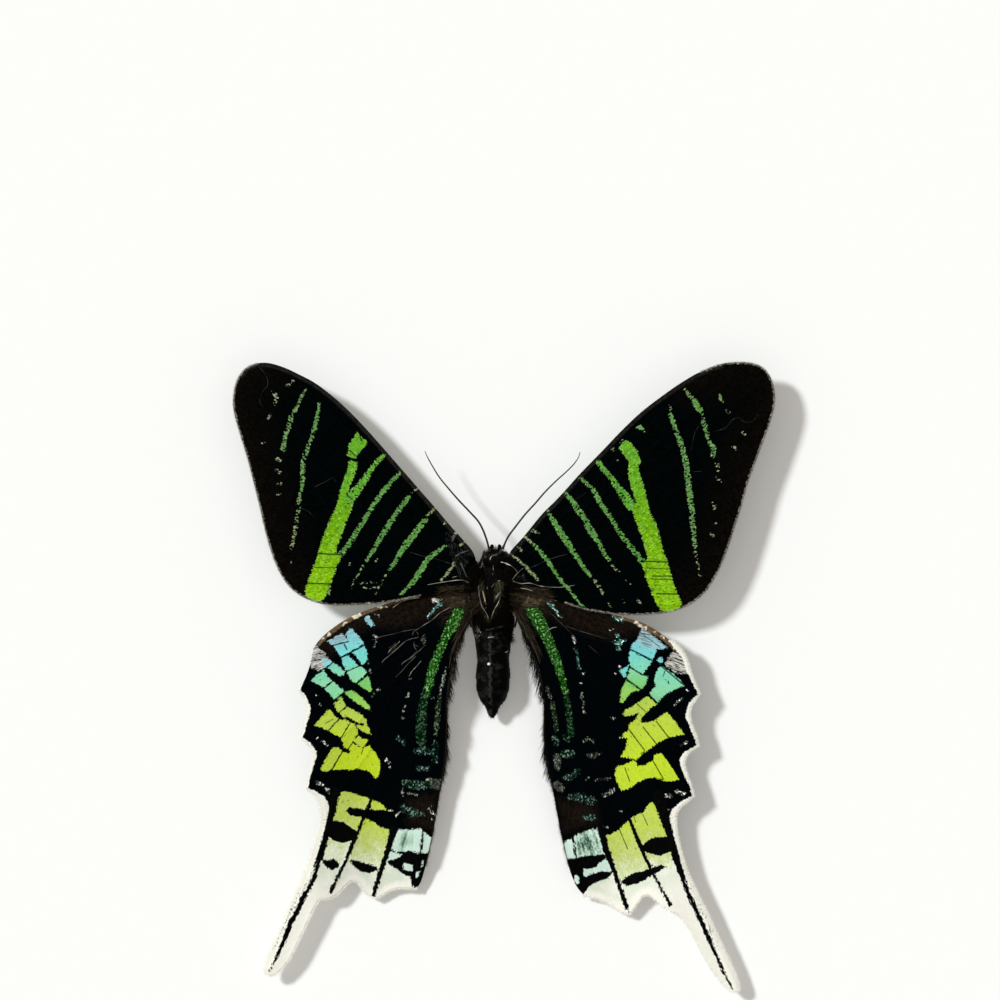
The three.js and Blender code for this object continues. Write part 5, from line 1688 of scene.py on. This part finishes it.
def make_stage(settings):
    half = 0.6
    corners = [(-half, -half, 0), (half, -half, 0), (half, half, 0), (-half, half, 0)]
    paper = floor_paper(tuple(settings.floor_colour))
    floor = mesh_object("paper_floor", corners, [(0, 1, 2, 3)], [paper])
    floor.location.z = -0.02 * MM

    # The key light comes from the photograph's upper left. Its shadows fall right and a little down.
    key = bpy.data.lights.new("key", "SUN")
    key.energy = settings.key_strength
    key.angle = settings.key_angle
    key.color = (0.97, 1.0, 1.0)
    travel = Vector((0.95, -0.54, -1.0))
    linked("key", key).rotation_euler = travel.to_track_quat("-Z", "Y").to_euler()

    scene = bpy.context.scene
    scene.world = bpy.data.worlds.new("studio")
    scene.world.use_nodes = True
    sky = scene.world.node_tree.nodes["Background"]
    sky.inputs["Color"].default_value = WARM_WHITE
    sky.inputs["Strength"].default_value = settings.fill_strength
    scene.view_settings.view_transform = "Standard"

    # The camera looks straight down on the middle of the photograph, whose 1000 pixels are this wide.
    view_width, wing_plane = 1000 * PIXEL, 4 * MM
    x, y = on_model([(500.0, 500.0)])[0]
    eye = bpy.data.cameras.new("camera")
    eye.lens, eye.sensor_width = 180.0, 36.0
    eye.clip_start, eye.clip_end = 0.01, 10.0
    scene.camera = linked("camera", eye)
    scene.camera.location = (x, y, wing_plane + view_width * eye.lens / eye.sensor_width)


# Settings


def length_setting(name, description, millimetres):
    """A setting that is a length."""
    return bpy.props.FloatProperty(
        name=name, description=description, default=millimetres * MM, unit="LENGTH", precision=6
    )


class MothWingSettings(bpy.types.PropertyGroup):
    mesh_step: length_setting("Mesh Step", "Distance between a wing's mesh points", 0.165)
    thickness: length_setting("Thickness", "Thickness of a wing with its scales", 0.1)
    vein_height: length_setting("Vein Height", "How far a vein stands out", 0.06)
    fold_depth: length_setting("Fold Depth", "How far a wing sinks between its veins", 0.05)


class MothBodySettings(bpy.types.PropertyGroup):
    hair_length: length_setting("Hair Length", "Length of the thorax's hairs", 1.15)
    hair_radius: length_setting("Hair Radius", "Radius of a hair at its root", 0.017)
    hair_density: bpy.props.FloatProperty(
        name="Hair Density", description="Hairs on a square metre of the body", default=6.5e7
    )
    ring_length: length_setting("Ring Length", "Length of one ring of an antenna", 0.16)


class MothStageSettings(bpy.types.PropertyGroup):
    floor_colour: bpy.props.FloatVectorProperty(
        name="Floor Colour", description="Colour of the paper that the moth lies on", subtype="COLOR",
        size=4, default=(0.795, 0.8, 0.805, 1.0),
    )
    key_strength: bpy.props.FloatProperty(
        name="Key Strength", description="Strength of the light from the upper left", default=2.98
    )
    key_angle: bpy.props.FloatProperty(
        name="Key Softness", description="How wide the key light is", default=math.radians(8),
        subtype="ANGLE",
    )
    fill_strength: bpy.props.FloatProperty(
        name="Fill Strength", description="Strength of the light from all around", default=0.42
    )


# Operators


class MOTH_OT_forewings(bpy.types.Operator):
    """Builds the two black forewings with their green bands"""

    bl_idname = "moth.forewings"
    bl_label = "Forewings"

    def execute(self, context):
        for side in SIDES:
            make_forewing(side, context.scene.moth_wings)
        return {"FINISHED"}


class MOTH_OT_hindwings(bpy.types.Operator):
    """Builds the two tailed hindwings with their coloured patches"""

    bl_idname = "moth.hindwings"
    bl_label = "Hindwings"

    def execute(self, context):
        for side in SIDES:
            make_hindwing(side, context.scene.moth_wings)
        return {"FINISHED"}


class MOTH_OT_thorax(bpy.types.Operator):
    """Builds the hairy thorax"""

    bl_idname = "moth.thorax"
    bl_label = "Thorax"

    def execute(self, context):
        make_thorax(context.scene.moth_body)
        return {"FINISHED"}


class MOTH_OT_head(bpy.types.Operator):
    """Builds the head with its eyes and palps"""

    bl_idname = "moth.head"
    bl_label = "Head"

    def execute(self, context):
        make_head(context.scene.moth_body)
        return {"FINISHED"}


class MOTH_OT_abdomen(bpy.types.Operator):
    """Builds the ringed abdomen"""

    bl_idname = "moth.abdomen"
    bl_label = "Abdomen"

    def execute(self, context):
        make_abdomen(context.scene.moth_body)
        return {"FINISHED"}


class MOTH_OT_antennae(bpy.types.Operator):
    """Builds the two thread-like antennae"""

    bl_idname = "moth.antennae"
    bl_label = "Antennae"

    def execute(self, context):
        make_antennae(context.scene.moth_body)
        return {"FINISHED"}


class MOTH_OT_legs(bpy.types.Operator):
    """Builds the six legs, folded under the body"""

    bl_idname = "moth.legs"
    bl_label = "Legs"

    def execute(self, context):
        make_legs(context.scene.moth_body)
        return {"FINISHED"}


class MOTH_OT_fur(bpy.types.Operator):
    """Builds the fur at the wings' roots and the single hairs that lie on the moth, with some painted shade
    and highlights
    """

    bl_idname = "moth.fur"
    bl_label = "Fur and Hairs"

    def execute(self, context):
        make_fur(context.scene.moth_body)
        return {"FINISHED"}


class MOTH_OT_stage(bpy.types.Operator):
    """Lays the paper floor and sets the lights and the camera"""

    bl_idname = "moth.stage"
    bl_label = "Stage"

    def execute(self, context):
        make_stage(context.scene.moth_stage)
        return {"FINISHED"}


OPERATORS = (
    MOTH_OT_stage, MOTH_OT_forewings, MOTH_OT_hindwings, MOTH_OT_thorax, MOTH_OT_head, MOTH_OT_abdomen,
    MOTH_OT_antennae, MOTH_OT_legs, MOTH_OT_fur,
)
SETTINGS = {"moth_wings": MothWingSettings, "moth_body": MothBodySettings, "moth_stage": MothStageSettings}


class MOTH_PT_parts(bpy.types.Panel):
    """Lists the moth's settings and the operators that build it"""

    bl_idname = "MOTH_PT_parts"
    bl_label = "Swallowtail Moth"
    bl_space_type = "VIEW_3D"
    bl_region_type = "UI"
    bl_category = "Moth"

    def draw(self, context):
        for group, kind in SETTINGS.items():
            box = self.layout.box()
            for name in kind.__annotations__:
                box.prop(getattr(context.scene, group), name)
        for operator in OPERATORS:
            self.layout.operator(operator.bl_idname)


def register():
    for made in (*SETTINGS.values(), *OPERATORS, MOTH_PT_parts):
        bpy.utils.register_class(made)
    for group, kind in SETTINGS.items():
        setattr(bpy.types.Scene, group, bpy.props.PointerProperty(type=kind))


def unregister():
    for group in SETTINGS:
        delattr(bpy.types.Scene, group)
    for made in reversed((*SETTINGS.values(), *OPERATORS, MOTH_PT_parts)):
        bpy.utils.unregister_class(made)


def main():
    register()
    for operator in OPERATORS:
        group, name = operator.bl_idname.split(".")
        getattr(getattr(bpy.ops, group), name)()


if __name__ == "__main__":
    main()
